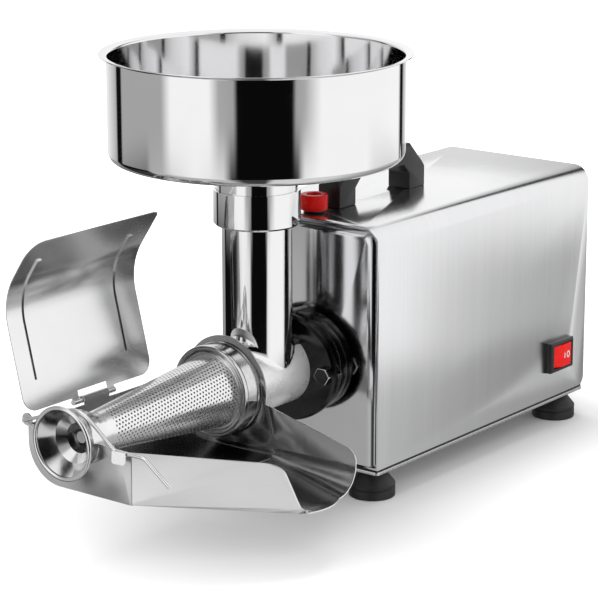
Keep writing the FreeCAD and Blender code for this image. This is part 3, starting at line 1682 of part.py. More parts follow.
# ---------------------------------------------------------------- juice tray
def juice_tray():
    """Bent stainless tray under the screen, with a spout to the right."""
    body = new_body("juice_tray", head)
    t = s.tray_sheet
    w, bend = s.tray_half_width, s.tray_bend_radius
    crease = w - t
    floor = -s.tray_front_drop
    # The floor falls towards the machine, so the trough is padded at a slant.
    trough = new_sketch(body, "XZ", -s.tray_front_out)
    high = s.tray_left_rise + 8
    outline(trough, [
        (-w, high),
        (-w, floor + bend),
        (-w + bend, floor, bend),
        (crease, floor),
        (crease, floor + t),
        (-w + bend, floor + t),
        (-w + t, floor + bend, -bend + t),
        (-w + t, high),
    ])
    run = s.tray_front_out - s.tray_back_out
    skin = pad(trough, run)
    skin.UseCustomVector = True
    skin.AlongSketchNormal = True
    skin.Direction = Vector(0, run.value, (s.tray_front_drop - s.tray_back_drop).value)
    level = new_sketch(body, "YZ")
    box(level, (-s.tray_front_out - 1, s.tray_left_rise), (-s.tray_back_out + 1, high + 12))
    pocket(level, both=True)
    # End wall with the notch that the outlet's collar lies in.
    wall = new_sketch(body, "XZ", -s.tray_front_out)
    outline(wall, [
        (-w, s.tray_left_rise),
        (-w, floor + bend),
        (-w + bend, floor, bend),
        (w, floor),
        (w, -s.tray_right_drop),
    ])
    pad(wall, t, back=True)
    notch = new_sketch(body, "XZ", -s.tray_front_out)
    circle(notch, 0, 0, s.horn_collar_radius + s.notch_clear)
    pocket(notch, t, back=True)
    # Back plate, hung on the barrel behind the ring nut.
    low = -s.tray_back_drop
    plate = new_sketch(body, "XZ", -s.tray_back_out)
    outline(plate, [
        (-w, s.tray_left_rise),
        (-w, low + bend),
        (-w + bend, low, bend),
        (crease, low),
        (crease, -s.tray_crease_drop),
        (0, s.tray_left_rise),
    ])
    pad(plate, t, back=True)
    lobe = new_sketch(body, "XZ", -s.tray_back_out)
    circle(lobe, 0, 0, s.tray_lobe_radius)
    pad(lobe, t, back=True)
    hole = new_sketch(body, "XZ", -s.tray_back_out)
    circle(hole, 0, 0, s.thread_radius + s.tray_hole_clear)
    pocket(hole, t, back=True)
    # Spout: a loft from the crease to the narrow mouth.
    spout_slant = root((s.spout_end - crease) * (s.spout_end - crease)
                       + (s.tray_front_out - s.spout_front_out)
                       * (s.tray_front_out - s.spout_front_out))
    thick = t * spout_slant / (s.spout_end - crease)
    root_section = new_sketch(body, "YZ", crease - t)
    back_y = -s.tray_back_out
    outline(root_section, [
        (-s.tray_front_out, -s.tray_right_drop),
        (-s.tray_front_out, floor),
        (back_y + t - s.spout_root_bend, low),
        (back_y + t, low + s.spout_root_bend, s.spout_root_bend),
        (back_y + t, -s.tray_crease_drop),
        (back_y, -s.tray_crease_drop),
        (back_y, low + s.spout_root_bend),
        (back_y + t - s.spout_root_bend, low + t, -s.spout_root_bend + t),
        (-s.tray_front_out + thick, floor + t),
        (-s.tray_front_out + thick, -s.tray_right_drop),
    ])
    mouth = new_sketch(body, "YZ", s.spout_end)
    front_y, rear_y = -s.spout_front_out, -s.spout_back_out
    outline(mouth, [
        (front_y, -s.spout_front_top_drop),
        (front_y, -s.spout_drop),
        (rear_y + t - s.spout_bend, -s.spout_drop),
        (rear_y + t, -s.spout_drop + s.spout_bend, s.spout_bend),
        (rear_y + t, -s.spout_back_top_drop),
        (rear_y, -s.spout_back_top_drop),
        (rear_y, -s.spout_drop + s.spout_bend),
        (rear_y + t - s.spout_bend, -s.spout_drop + t, -s.spout_bend + t),
        (front_y + thick, -s.spout_drop + t),
        (front_y + thick, -s.spout_front_top_drop),
    ])
    spout = feature(body, "AdditiveLoft", root_section)
    spout.Sections = [mouth]
    spout.Ruled = True
    lip = new_sketch(body, "XY", -s.spout_drop)
    end = s.spout_end - 1
    flat_end = rear_y + t - s.spout_bend
    half_lip = (flat_end - front_y) / 2
    outline(lip, [
        (end, front_y),
        (end + 1, front_y),
        (end + 1, flat_end, (half_lip * half_lip + s.spout_lip * s.spout_lip) / (s.spout_lip * 2)),
        (end, flat_end),
    ])
    pad(lip, t)
    # The front wall runs down to the lip in a wide curve, the back wall has a
    # rounded corner.
    middle = (front_y + rear_y) / 2
    above = -s.tray_right_drop + 10
    curve_start = s.spout_end - s.spout_curve_start
    slope = (s.spout_front_top_drop - s.tray_right_drop) / (s.spout_end - crease + t)
    curve_top = -s.spout_front_top_drop + slope * s.spout_curve_start
    front_trim = new_sketch(body, "XZ", middle)
    outline(front_trim, [
        (curve_start, above),
        (curve_start, curve_top),
        (s.spout_end, -s.spout_drop + 4, -s.spout_curve),
        (s.spout_end + 1, -s.spout_drop + 4),
        (s.spout_end + 1, above),
    ])
    pocket(front_trim, s.tray_front_out)
    corner = s.spout_back_corner
    back_slope = (s.spout_back_top_drop - s.tray_crease_drop) / (s.spout_end - crease + t)
    back_trim = new_sketch(body, "XZ", middle)
    outline(back_trim, [
        (s.spout_end - corner, above),
        (s.spout_end - corner, -s.spout_back_top_drop + corner * back_slope),
        (s.spout_end, -s.spout_back_top_drop - corner, -corner),
        (s.spout_end + 1, -s.spout_back_top_drop - corner),
        (s.spout_end + 1, above),
    ])
    pocket(back_trim, s.tray_front_out, back=True)
    # Catch for the wire clip, on the right of the end wall.
    catch = new_sketch(body, "YZ", s.catch_side)
    wall_y = -s.tray_front_out
    reach = wall_y - s.catch_reach
    shelf = -s.clip_catch_drop - s.wire_radius - s.wire_gap
    top = -s.clip_catch_drop + s.wire_radius - 0.4
    outline(catch, [
        (wall_y + t / 2, shelf),
        (reach + t, shelf),
        (reach + t, top),
        (reach, top),
        (reach, top - s.catch_height),
        (reach + t, top - s.catch_height),
        (reach + t, shelf - t),
        (wall_y + t / 2, shelf - t),
    ])
    pad(catch, s.catch_width, both=True)
    # Ear that the wire clip pivots in.
    ear = new_sketch(body, "XZ", wall_y)
    circle(ear, -s.clip_pivot_side, s.clip_pivot_rise, s.clip_ear_radius)
    pad(ear, t, back=True)
    eye = new_sketch(body, "XZ", wall_y)
    circle(eye, -s.clip_pivot_side, s.clip_pivot_rise, s.wire_radius + 0.08)
    pocket(eye, t, back=True)
    # Hook that the guard's rolled edge turns in.
    hook = new_sketch(body, "XZ", -(s.tongue_front_out + s.tongue_back_out) / 2)
    x, z = hinge_place()
    inner = s.hinge_bead_radius + s.hinge_clear
    outer = inner + t
    stop = 215
    outline(hook, [
        (-w + t, 0),
        (x + outer, z),
        (x, z + outer, outer),
        (x - outer, z, outer),
        (x + outer * cosine(stop), z + outer * sine(stop), outer),
        (x + inner * cosine(stop), z + inner * sine(stop)),
        (x - inner, z, -inner),
        (x, z + inner, -inner),
        (x + inner, z, -inner),
        (-w, 0),
    ])
    pad(hook, s.hinge_hook_length, both=True)


def hinge_place():
    """The guard's axis from the auger axis: just outside the tray's left wall."""
    x = -s.tray_half_width + s.tray_sheet - s.hinge_bead_radius - s.hinge_clear - s.tray_sheet
    return x, s.hinge_rise


# ---------------------------------------------------------------- splash guard
def guard_path():
    """Corners of the guard's section, seen from the front, from its axis upwards:
    end of the lower flat, end of the bend, tip, and the bend's centre."""
    x, z = hinge_place()
    low, high = s.guard_lean, s.guard_nose_lean
    flat_x = x - s.guard_rise * sine(low)
    flat_z = z + s.guard_rise * cosine(low)
    centre_x = flat_x + s.guard_bend_radius * cosine(low)
    centre_z = flat_z + s.guard_bend_radius * sine(low)
    return x, z, flat_x, flat_z, centre_x, centre_z


def guard_strip(sketch, inside, outside, start, nose):
    """Closed section of a strip that follows the guard, between two distances
    towards the bend's centre, from start above the axis to nose past the bend."""
    x, z, flat_x, flat_z, centre_x, centre_z = guard_path()
    low, high = s.guard_lean, s.guard_nose_lean

    def lower(along_guard, depth):
        return (x - sine(low) * along_guard + cosine(low) * depth,
                z + cosine(low) * along_guard + sine(low) * depth)

    def upper(along_nose, depth):
        reach = s.guard_bend_radius - depth
        return (centre_x - cosine(high) * reach + sine(high) * along_nose,
                centre_z + sine(high) * reach + cosine(high) * along_nose)

    big, small = s.guard_bend_radius - outside, s.guard_bend_radius - inside
    outline(sketch, [
        lower(start, outside),
        lower(s.guard_rise, outside),
        (*upper(Size.of(0), outside), -big),
        upper(nose, outside),
        upper(nose, inside),
        upper(Size.of(0), inside),
        (*lower(s.guard_rise, inside), small),
        lower(start, inside),
    ])


def splash_guard():
    """Curved sheet guard that hinges on the tray's left wall, shown open."""
    body = new_body("splash_guard", head)
    half = s.guard_sheet / 2
    length = s.guard_front_out - s.guard_back_out
    sheet_y = -(s.guard_front_out + s.guard_back_out) / 2
    section = new_sketch(body, "XZ", sheet_y)
    guard_strip(section, half, -half, Size.of(0), s.guard_nose)
    pad(section, length, both=True)
    x, z, flat_x, flat_z, centre_x, centre_z = guard_path()
    high = s.guard_nose_lean
    top = centre_z + sine(high) * s.guard_bend_radius + cosine(high) * s.guard_nose + 2
    fall = s.guard_front_corner
    front_y, back_y = -s.guard_front_out, -s.guard_back_out
    cuts = new_sketch(body, "YZ")
    tip = top - 2
    outline(cuts, [
        (front_y, tip - fall),
        (front_y + fall, tip, -fall),
        (front_y + fall, top + 2),
        (front_y - 2, top + 2),
        (front_y - 2, tip - fall),
    ])
    fall = s.guard_back_corner
    outline(cuts, [
        (back_y - fall, tip),
        (back_y, tip - fall, -fall),
        (back_y + 2, tip - fall),
        (back_y + 2, top + 2),
        (back_y - fall, top + 2),
    ])
    # The lower edge stands clear of the tray's wall on both sides of the tongue.
    edge = z + s.guard_skirt
    fall = s.guard_low_corner
    outline(cuts, [
        (-s.tongue_front_out, z - 6),
        (-s.tongue_front_out, edge),
        (front_y + fall, edge),
        (front_y, edge + fall, -fall),
        (front_y - 2, edge + fall),
        (front_y - 2, z - 6),
    ])
    outline(cuts, [
        (-s.tongue_back_out, z - 6),
        (back_y + 2, z - 6),
        (back_y + 2, edge + fall),
        (back_y, edge + fall),
        (back_y - fall, edge, -fall),
        (-s.tongue_back_out, edge),
    ])
    middle = -(s.tongue_front_out + s.tongue_back_out) / 2
    reach = s.window_length / 2
    box(cuts, (middle - reach, z - 4), (middle + reach, z + s.window_height))
    pocket(cuts, both=True)
    # Rolled lower edge, which turns in the tray's hook.
    bead = new_sketch(body, "XZ", middle)
    circle(bead, x, z, s.hinge_bead_radius)
    pad(bead, s.tongue_front_out - s.tongue_back_out, both=True)
    # Two pressed ribs stiffen the sheet.
    for out in (s.rib_front_out, s.rib_back_out):
        rib = new_sketch(body, "XZ", -out)
        guard_strip(rib, half + s.rib_proud, Size.of(0), s.rib_start, s.rib_nose)
        pad(rib, s.rib_width, both=True)


# ---------------------------------------------------------------- wire clip
def clip_out():
    """How far in front of the panel the clip's wire lies: just before the tray's end wall."""
    return s.tray_front_out + s.wire_radius + s.clip_gap


def wire_clip():
    """Spring wire that holds the outlet down in the tray's notch."""
    body = new_body("wire_clip", head)
    path = new_sketch(body, "XZ", -clip_out())
    rest = s.horn_collar_radius + s.wire_gap + s.wire_radius
    pivot_x, pivot_z = -s.clip_pivot_side, s.clip_pivot_rise
    end_x, end_z = s.clip_catch_side, -s.clip_catch_drop
    # Tangent points on the arc over the collar, by their angles from +X.
    far = root(pivot_x * pivot_x + pivot_z * pivot_z)
    left = 180 - Size(math.degrees(math.atan2(pivot_z.value, -pivot_x.value)),
                      f"(atan2({pivot_z.text}; {(-pivot_x).text}) / 1 deg)") - arc_cosine(rest / far)
    far = root(end_x * end_x + end_z * end_z)
    right = arc_cosine(rest / far) - Size(math.degrees(math.atan2(-end_z.value, end_x.value)),
                                          f"(atan2({(-end_z).text}; {end_x.text}) / 1 deg)")
    points = [
        (pivot_x, pivot_z),
        (rest * cosine(left), rest * sine(left)),
        (rest * cosine(right), rest * sine(right)),
        (end_x, end_z),
        (s.clip_lever_side, end_z - 0.3),
        (s.clip_tip_side, -s.clip_tip_drop),
    ]
    places = [Vector(x.value, z.value, 0) for x, z in points]
    for index in range(len(points) - 1):
        start, end = places[index], places[index + 1]
        if index == 1:
            path.addGeometry(bent_side(start, end, -rest.value))
            rule = path.addConstraint(Sketcher.Constraint("Radius", index, rest.value))
            drive(path, f"Constraints[{rule}]", rest)
        else:
            path.addGeometry(Part.LineSegment(start, end))
    # The arc runs the other way round, so its two ends are swapped.
    ends = [(2, 1) if index == 1 else (1, 2) for index in range(len(points) - 1)]
    for index in range(len(points) - 2):
        joint = (index, ends[index][1], index + 1, ends[index + 1][0])
        path.addConstraint(Sketcher.Constraint("Coincident", *joint))
    for index, (x, z) in enumerate(points[:-1]):
        fix_point(path, index, ends[index][0], x, z)
    fix_point(path, len(points) - 2, 2, *points[-1])
    # The wire is bent round a mandrel where it meets the catch and at the lever.
    for before, bend in ((2, s.clip_catch_bend), (3, s.clip_lever_bend)):
        path.fillet(before, 2, bend.value, True, True)
    section = new_sketch(body, "YZ", pivot_x)
    circle(section, -clip_out(), pivot_z, s.wire_radius)
    pipe = feature(body, "AdditivePipe", section)
    pipe.Spine = (path, ["Edge1", "Edge2", "Edge3", "Edge6", "Edge4", "Edge7", "Edge5"])
    stub = new_sketch(body, "XZ", -clip_out() - s.wire_radius * 0.8)
    circle(stub, pivot_x, pivot_z, s.wire_radius)
    pad(stub, s.clip_stub, back=True)


# ---------------------------------------------------------------- hopper
def hopper_place():
    """Where the hopper's axis meets the auger's."""
    return (0, front - s.neck_out, s.axis_height)


def spigot_radius():
    """Outer radius of the hopper's spigot, which drops into the neck's collar."""
    return s.collar_radius - s.collar_wall - s.spigot_clear


def hopper_bowl():
    """Spun stainless bowl with a rolled rim and a hole over the neck."""
    body = new_body("hopper_bowl", hopper_place())
    profile = new_sketch(body, "XZ")
    bore = spigot_radius() - s.spigot_wall
    bottom, t = s.bowl_bottom_rise, s.bowl_sheet
    corner = s.bowl_corner_radius
    rim = s.bowl_top_rise
    wall = s.bowl_radius
    outline(profile, [
        (bore, bottom),
        (wall - corner, bottom),
        (wall, bottom + corner, corner),
        (wall, rim - 4),
        (wall + s.bowl_lip - 1.2, rim - 1.7),
        (wall + s.bowl_lip, rim - 1, 0.9),
        (wall + s.bowl_lip - 0.6, rim, 0.9),
        (wall - t + 1.5, rim - 2),
        (wall - t, rim - 4),
        (wall - t, bottom + corner),
        (wall - corner, bottom + t, -corner + t),
        (bore, bottom + t),
    ])
    turn(profile)


def hopper_spigot():
    """Tube welded under the bowl's hole."""
    body = new_body("hopper_spigot", hopper_place())
    profile = new_sketch(body, "XZ")
    low = s.neck_rise + s.collar_wall + s.spigot_seat
    outer = spigot_radius()
    top = s.bowl_bottom_rise - 0.02
    outline(profile, [
        (outer - s.spigot_wall, low),
        (outer - 0.5, low),
        (outer, low + 0.5),
        (outer, top),
        (outer - s.spigot_wall, top),
    ])
    turn(profile)


# ---------------------------------------------------------------- build and export
for build in (
    rubber_feet, foot_screws, foot_nuts, base_plate, base_gasket, cover_screws,
    housing_cover, front_panel, back_panel, cable_gland, gland_nut,
    carry_handle, handle_screws, button_collar, reset_button, button_switch,
    switch_bezel, switch_rocker,
    head_casting, gearbox_flange, flange_screws, flange_bolts, flange_nuts,
    ring_nut, screen_cone, outlet_horn,
    auger, output_shaft, drive_bearings, shaft_seal,
    gears, layshaft, gearbox_case, gearbox_cover,
    motor_case, motor_bearings, motor_rotor, cooling_fan, motor_cradle, run_capacitor,
    juice_tray, splash_guard, wire_clip, hopper_bowl, hopper_spigot,
):
    build()
doc.recompute()

HIDDEN = ("screen_blank", "screen_punches")
pieces = [
    o for o in doc.Objects
    if o.TypeId in ("PartDesign::Body", "Part::Feature", "Part::Cut") and o.Label not in HIDDEN
]
faults = []
for item in doc.Objects:
    if "Invalid" in item.State or "Error" in item.State:
        faults.append(f"{item.Label}: {item.State}")
for item in pieces:
    if item.Shape.isNull() or not item.Shape.isValid() or not item.Shape.Solids:
        faults.append(f"{item.Label}: bad shape")
if faults:
    raise RuntimeError("; ".join(faults))

os.makedirs("parts", exist_ok=True)
for item in pieces:
    item.Shape.exportStep(f"parts/{item.Label}.step")
print(f"{len(pieces)} parts written")
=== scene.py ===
import json
import math

import bpy
import numpy as np
from mathutils import Matrix, Vector

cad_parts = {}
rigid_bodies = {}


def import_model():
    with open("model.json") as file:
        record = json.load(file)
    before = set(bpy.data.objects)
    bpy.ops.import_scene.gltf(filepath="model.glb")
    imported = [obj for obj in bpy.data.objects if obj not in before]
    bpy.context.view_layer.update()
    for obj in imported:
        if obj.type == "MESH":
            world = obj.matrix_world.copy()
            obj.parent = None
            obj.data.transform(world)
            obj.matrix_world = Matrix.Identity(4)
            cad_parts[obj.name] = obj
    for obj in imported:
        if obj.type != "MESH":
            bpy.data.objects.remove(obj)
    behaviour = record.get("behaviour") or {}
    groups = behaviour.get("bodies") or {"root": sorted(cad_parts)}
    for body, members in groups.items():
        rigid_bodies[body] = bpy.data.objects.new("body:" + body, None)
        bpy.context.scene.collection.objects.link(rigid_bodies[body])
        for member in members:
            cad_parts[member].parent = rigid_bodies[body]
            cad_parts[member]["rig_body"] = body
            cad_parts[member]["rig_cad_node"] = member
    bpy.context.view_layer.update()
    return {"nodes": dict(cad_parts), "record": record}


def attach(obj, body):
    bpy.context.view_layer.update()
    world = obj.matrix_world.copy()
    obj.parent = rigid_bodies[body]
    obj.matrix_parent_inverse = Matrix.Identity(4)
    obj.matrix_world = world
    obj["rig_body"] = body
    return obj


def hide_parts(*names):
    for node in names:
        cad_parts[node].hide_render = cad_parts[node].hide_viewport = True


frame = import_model()

# Rubber feet: moulded black rubber cones with a lip round the foot, each held up to
# the base plate by a screw in the recess underneath.


class Value:
    """A socket in a material's tree; sums on it add Math nodes."""

    def __init__(self, tree, socket=None):
        self.tree = tree
        self.socket = socket

    def node(self, kind, settings=None, inputs=None, output=0):
        """Adds a node: its settings first, then the values or links of its sockets."""
        made = self.tree.nodes.new(kind)
        for name, setting in (settings or {}).items():
            if name != "stops":
                setattr(made, name, setting)
                continue
            ramp = made.color_ramp.elements
            ramp[0].position, ramp[0].color = setting[0]
            ramp[1].position, ramp[1].color = setting[-1]
            for place, tint in setting[1:-1]:
                ramp.new(place).color = tint
        for name, value in (inputs or {}).items():
            if isinstance(value, Value):
                self.tree.links.new(value.socket, made.inputs[name])
            else:
                made.inputs[name].default_value = value
        return Value(self.tree, made.outputs[output] if made.outputs else None)

    def math(self, operation, *values):
        """One Math node on this socket and on the values after it."""
        return self.node("ShaderNodeMath", {"operation": operation},
                         dict(enumerate((self, *values))))

    def __add__(self, other):
        return self.math("ADD", other)

    __radd__ = __add__

    def __mul__(self, other):
        return self.math("MULTIPLY", other)

    __rmul__ = __mul__

    def __sub__(self, other):
        return self.math("SUBTRACT", other)

    def __rsub__(self, other):
        return (self * -1.0) + other


def new_finish(name, **constants):
    """A material, its shader, and its tree as a Value; constants go on the shader."""
    material = bpy.data.materials.new(name)
    material.use_nodes = True
    shader = material.node_tree.nodes["Principled BSDF"]
    for socket, value in constants.items():
        shader.inputs[socket.replace("_", " ")].default_value = value
    return material, shader, Value(material.node_tree)


def feed(shader, socket, value):
    """Links a Value to a socket of the shader."""
    value.tree.links.new(value.socket, shader.inputs[socket])


def noise(tree, scale, stretch=(1, 1, 1), detail=2.0, turn=0.0):
    """Noise from 0 to 1 in object space, stretched to give a grain."""
    place = tree.node("ShaderNodeTexCoord", output="Object")
    along = place.node("ShaderNodeMapping", {},
                       {"Vector": place, "Scale": stretch, "Rotation": (0, 0, turn)})
    return along.node("ShaderNodeTexNoise", {}, {"Vector": along, "Scale": scale, "Detail": detail})


def tint(tree, shader, mask, dark, light):
    """Base Color that runs from dark to light as the mask runs from 0 to 1."""
    mixed = tree.node("ShaderNodeMix", {"data_type": "RGBA"},
                      {0: mask, 6: (*dark, 1), 7: (*light, 1)}, output=2)
    feed(shader, "Base Color", mixed)


def relief(tree, shader, height, strength, depth):
    """Small relief on the surface from a Bump node."""
    bump = tree.node("ShaderNodeBump", {},
                     {"Strength": strength, "Distance": depth, "Height": height})
    feed(shader, "Normal", bump)


def pick(*pieces):
    """Selects pieces, the last of them active, and nothing else."""
    bpy.ops.object.select_all(action="DESELECT")
    for piece in pieces:
        piece.select_set(True)
    bpy.context.view_layer.objects.active = pieces[-1]


def finish(piece, body, material, sharp=35.0):
    """Puts a finished piece's place in its mesh, smooths it and gives it a finish."""
    pick(piece)
    bpy.ops.object.transform_apply(location=True, rotation=True, scale=True)
    bpy.ops.object.shade_smooth_by_angle(angle=math.radians(sharp))
    piece.data.materials.clear()
    piece.data.materials.append(material)
    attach(piece, body)
    return piece


def rounded(path, steps=6):
    """A path whose corners (x, y, radius) are turned into arcs of short sides."""
    points = []
    count = len(path)
    for index, corner in enumerate(path):
        here = Vector(corner[:2])
        if len(corner) == 2:
            points.append(here)
            continue
        before = (Vector(path[index - 1][:2]) - here).normalized()
        after = (Vector(path[(index + 1) % count][:2]) - here).normalized()
        half = before.angle(after) / 2
        middle = here + (before + after).normalized() * corner[2] / math.sin(half)
        start = here + before * corner[2] / math.tan(half) - middle
        stop = here + after * corner[2] / math.tan(half) - middle
        turn = math.atan2(start.x * stop.y - start.y * stop.x, start.dot(stop))
        for step in range(steps + 1):
            points.append(middle + Matrix.Rotation(turn * step / steps, 2) @ start)
    return [tuple(point) for point in points]


def turned(name, profile, centre, out=False, turns=128):
    """A round piece: a ring is drawn along a closed profile of (radius, height).
    Its axis points up, or out towards the outlet."""
    bpy.ops.object.select_all(action="DESELECT")
    bpy.ops.mesh.primitive_circle_add(vertices=turns, radius=profile[0][0])
    piece = bpy.context.object
    piece.name = name
    bpy.ops.object.mode_set(mode="EDIT")
    bpy.ops.mesh.select_all(action="SELECT")
    bpy.ops.transform.translate(value=(0, 0, profile[0][1]))
    for (radius, height), (next_radius, next_height) in zip(profile, profile[1:] + profile[:1]):
        step = next_radius / radius
        rise = (0, 0, next_height - height)
        bpy.ops.mesh.extrude_region_move(TRANSFORM_OT_translate={"value": rise})
        bpy.ops.transform.resize(value=(step, step, 1), center_override=(0, 0, 0))
    bpy.ops.mesh.select_all(action="SELECT")
    bpy.ops.mesh.remove_doubles(threshold=0.000002)
    bpy.ops.mesh.normals_make_consistent(inside=False)
    bpy.ops.object.mode_set(mode="OBJECT")
    piece.location = centre
    if out:
        piece.rotation_euler = (math.pi / 2, 0, 0)
    return piece


black_rubber, shader, tree = new_finish("black rubber", Specular_IOR_Level=0.4)
grain = noise(tree, 900.0)
scuffs = noise(tree, 55.0, detail=4.0)
tint(tree, shader, scuffs, (0.006, 0.006, 0.006), (0.016, 0.016, 0.017))
feed(shader, "Roughness", scuffs * 0.2 + 0.34)
relief(tree, shader, grain, 0.25, 0.0003)
FOOT_SIDE, FOOT_END = 0.061, 0.1385
for number, (side, end) in enumerate(((-1, -1), (1, -1), (-1, 1), (1, 1)), 1):
    foot = turned(f"rubber_foot_{number}", rounded([
        (0.0070, 0.0),
        (0.0190, 0.0, 0.0007),
        (0.0190, 0.0070, 0.0007),
        (0.0178, 0.0076, 0.0004),
        (0.0190, 0.0082, 0.0005),
        (0.0190, 0.0108, 0.0010),
        (0.0085, 0.0240),
        (0.0026, 0.0240),
        (0.0026, 0.0110),
        (0.0056, 0.0110),
        (0.0056, 0.0060),
        (0.0070, 0.0060),
    ], 4), (side * FOOT_SIDE, end * FOOT_END, 0), turns=64)
    finish(foot, "machine", black_rubber, 30)
    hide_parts("rubber_feet")

# Base plate and gasket: flat stainless plate under the machine, with a black rubber
# strip between its edge and the housing; screws from below go through both into the
# cover's hems.


def dressed(node, material, edge=0.0, sharp=30.0, bright=None, reshape=None):
    """A copy of a CAD node that stands for it: as it is, or with merged corners and
    soft edges, which may be brighter; reshape moves its points first."""
    source = frame["nodes"][node]
    piece = source.copy()
    piece.data = source.data.copy()
    piece.name = node + "_skin"
    piece.parent = None
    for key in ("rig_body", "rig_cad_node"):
        del piece[key]
    bpy.context.scene.collection.objects.link(piece)
    piece.data.materials.clear()
    piece.data.materials.append(material)
    if edge:
        pick(piece)
        bpy.ops.object.mode_set(mode="EDIT")
        bpy.ops.mesh.select_all(action="SELECT")
        bpy.ops.mesh.remove_doubles(threshold=0.00001)
        bpy.ops.mesh.dissolve_limited(angle_limit=math.radians(0.3))
        bpy.ops.object.mode_set(mode="OBJECT")
    if reshape:
        spots = np.empty(len(piece.data.vertices) * 3)
        piece.data.vertices.foreach_get("co", spots)
        piece.data.vertices.foreach_set("co", reshape(spots.reshape(-1, 3)).ravel())
    if edge:
        bevel = piece.modifiers.new("edges", "BEVEL")
        bevel.width = edge
        bevel.segments = 2
        bevel.limit_method = "ANGLE"
        bevel.angle_limit = math.radians(40)
        if bright:
            piece.data.materials.append(bright)
            bevel.material = 1
        bpy.ops.object.modifier_apply(modifier="edges")
        bpy.ops.object.shade_smooth_by_angle(angle=math.radians(sharp))
    bodies = frame["record"]["behaviour"]["bodies"]
    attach(piece, next(body for body, members in bodies.items() if node in members))
    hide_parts(node)
    return piece


def painted(nodes, material):
    """Gives CAD nodes that keep their shape a finish."""
    for node in nodes:
        frame["nodes"][node].data.materials.clear()
        frame["nodes"][node].data.materials.append(material)


machined_steel, shader, tree = new_finish("machined steel", Metallic=1.0)
grain = noise(tree, 400.0)
tint(tree, shader, grain, (0.42, 0.42, 0.42), (0.62, 0.61, 0.60))
feed(shader, "Roughness", grain * 0.2 + 0.22)
relief(tree, shader, grain, 0.1, 0.0002)

plate_steel, shader, tree = new_finish("plate steel", Metallic=1.0)
grain = noise(tree, 1.0, (6, 900, 6), 3.0)
tint(tree, shader, grain, (0.66, 0.66, 0.67), (0.80, 0.80, 0.81))
feed(shader, "Roughness", grain * 0.15 + 0.2)
relief(tree, shader, grain, 0.1, 0.0002)
dressed("base_plate", plate_steel, edge=0.0003)
painted(["base_gasket"], black_rubber)
painted(["foot_screws", "foot_nuts", "cover_screws", "handle_screws"], machined_steel)

# Housing cover and back panel: stainless sheet bent over the top and both sides,
# ground with a fine grain that runs up the sides; its edges are bright where they
# were dressed after cutting.

brushed_sheet, shader, tree = new_finish("brushed sheet", Metallic=1.0)
fine = noise(tree, 1.0, (5, 1300, 5), 3.0)
broad = noise(tree, 1.0, (2, 45, 2), 2.0)
cloud = noise(tree, 9.0)
tint(tree, shader, fine * 0.55 + broad * 0.3 + cloud * 0.15,
     (0.76, 0.765, 0.775), (0.92, 0.92, 0.93))
feed(shader, "Roughness", broad * 0.05 + fine * 0.06 + 0.11)
relief(tree, shader, fine, 0.30, 0.0002)

polished_edge, shader, tree = new_finish("polished edge", Metallic=1.0)
grain = noise(tree, 500.0)
tint(tree, shader, grain, (0.88, 0.88, 0.88), (0.96, 0.96, 0.96))
feed(shader, "Roughness", grain * 0.1 + 0.15)
dressed("housing_cover", brushed_sheet, edge=0.0006, bright=polished_edge)
dressed("back_panel", brushed_sheet, edge=0.0004)

# Front panel: bright stainless pan behind the head, its edges bent round and its
# face polished by hand, so that it shows faint waves. The drive comes through it.

panel_steel, shader, tree = new_finish("panel steel", Metallic=1.0)
smear = noise(tree, 22.0, detail=3.0)
waves = noise(tree, 9.0, (1, 1, 0.35), 1.0)
tint(tree, shader, smear, (0.74, 0.74, 0.75), (0.82, 0.82, 0.83))
feed(shader, "Roughness", smear * 0.08 + 0.08)
relief(tree, shader, waves, 0.10, 0.02)
FRONT, AXIS = -0.1575, 0.108
PANEL_HALF, PANEL_LOW, PANEL_TOP, PANEL_CORNER = 0.0782, 0.0303, 0.2267, 0.0132
PANEL_BEND, PANEL_RETURN, PANEL_SHEET, PANEL_BORE = 0.0100, 0.0120, 0.0015, 0.020
ARC_STEPS, BEND_STEPS = 8, 10


def panel_row(inset, depth):
    """One row of the panel's sheet, up the left side, over the top and down, at a
    depth behind the housing's front."""
    half, top, bend = PANEL_HALF - inset, PANEL_TOP - inset, PANEL_CORNER - inset
    arc = [math.radians(90 * step / ARC_STEPS) for step in range(ARC_STEPS + 1)]
    left = [(bend - half - bend * math.cos(t), top - bend + bend * math.sin(t)) for t in arc]
    right = [(half - bend + bend * math.sin(t), top - bend + bend * math.cos(t)) for t in arc]
    path = [(-half, PANEL_LOW), *left, *right, (half, PANEL_LOW)]
    return [(x, FRONT + depth, z) for x, z in path]


sheet_rows = [panel_row(0, PANEL_RETURN)]
for step in range(BEND_STEPS + 1):
    turn = math.radians(90 * step / BEND_STEPS)
    sheet_rows.append(panel_row(PANEL_BEND * (1 - math.cos(turn)),
                                PANEL_BEND * (1 - math.sin(turn))))
sheet_rows.append([(0, FRONT, PANEL_LOW)] * len(sheet_rows[0]))
bpy.ops.object.select_all(action="DESELECT")
bpy.ops.mesh.primitive_grid_add(x_subdivisions=len(sheet_rows[0]) - 1,
                                y_subdivisions=len(sheet_rows) - 1)
panel = bpy.context.object
panel.name = "front_panel_skin"
panel.data.vertices.foreach_set("co", np.array(sheet_rows).ravel())
bpy.ops.object.mode_set(mode="EDIT")
bpy.ops.mesh.select_all(action="SELECT")
bpy.ops.mesh.remove_doubles(threshold=0.00001)
bpy.ops.mesh.normals_make_consistent(inside=False)
bpy.ops.object.mode_set(mode="OBJECT")
thick = panel.modifiers.new("sheet", "SOLIDIFY")
thick.thickness = PANEL_SHEET
thick.offset = -1
bpy.ops.object.modifier_apply(modifier="sheet")
bpy.ops.object.select_all(action="DESELECT")
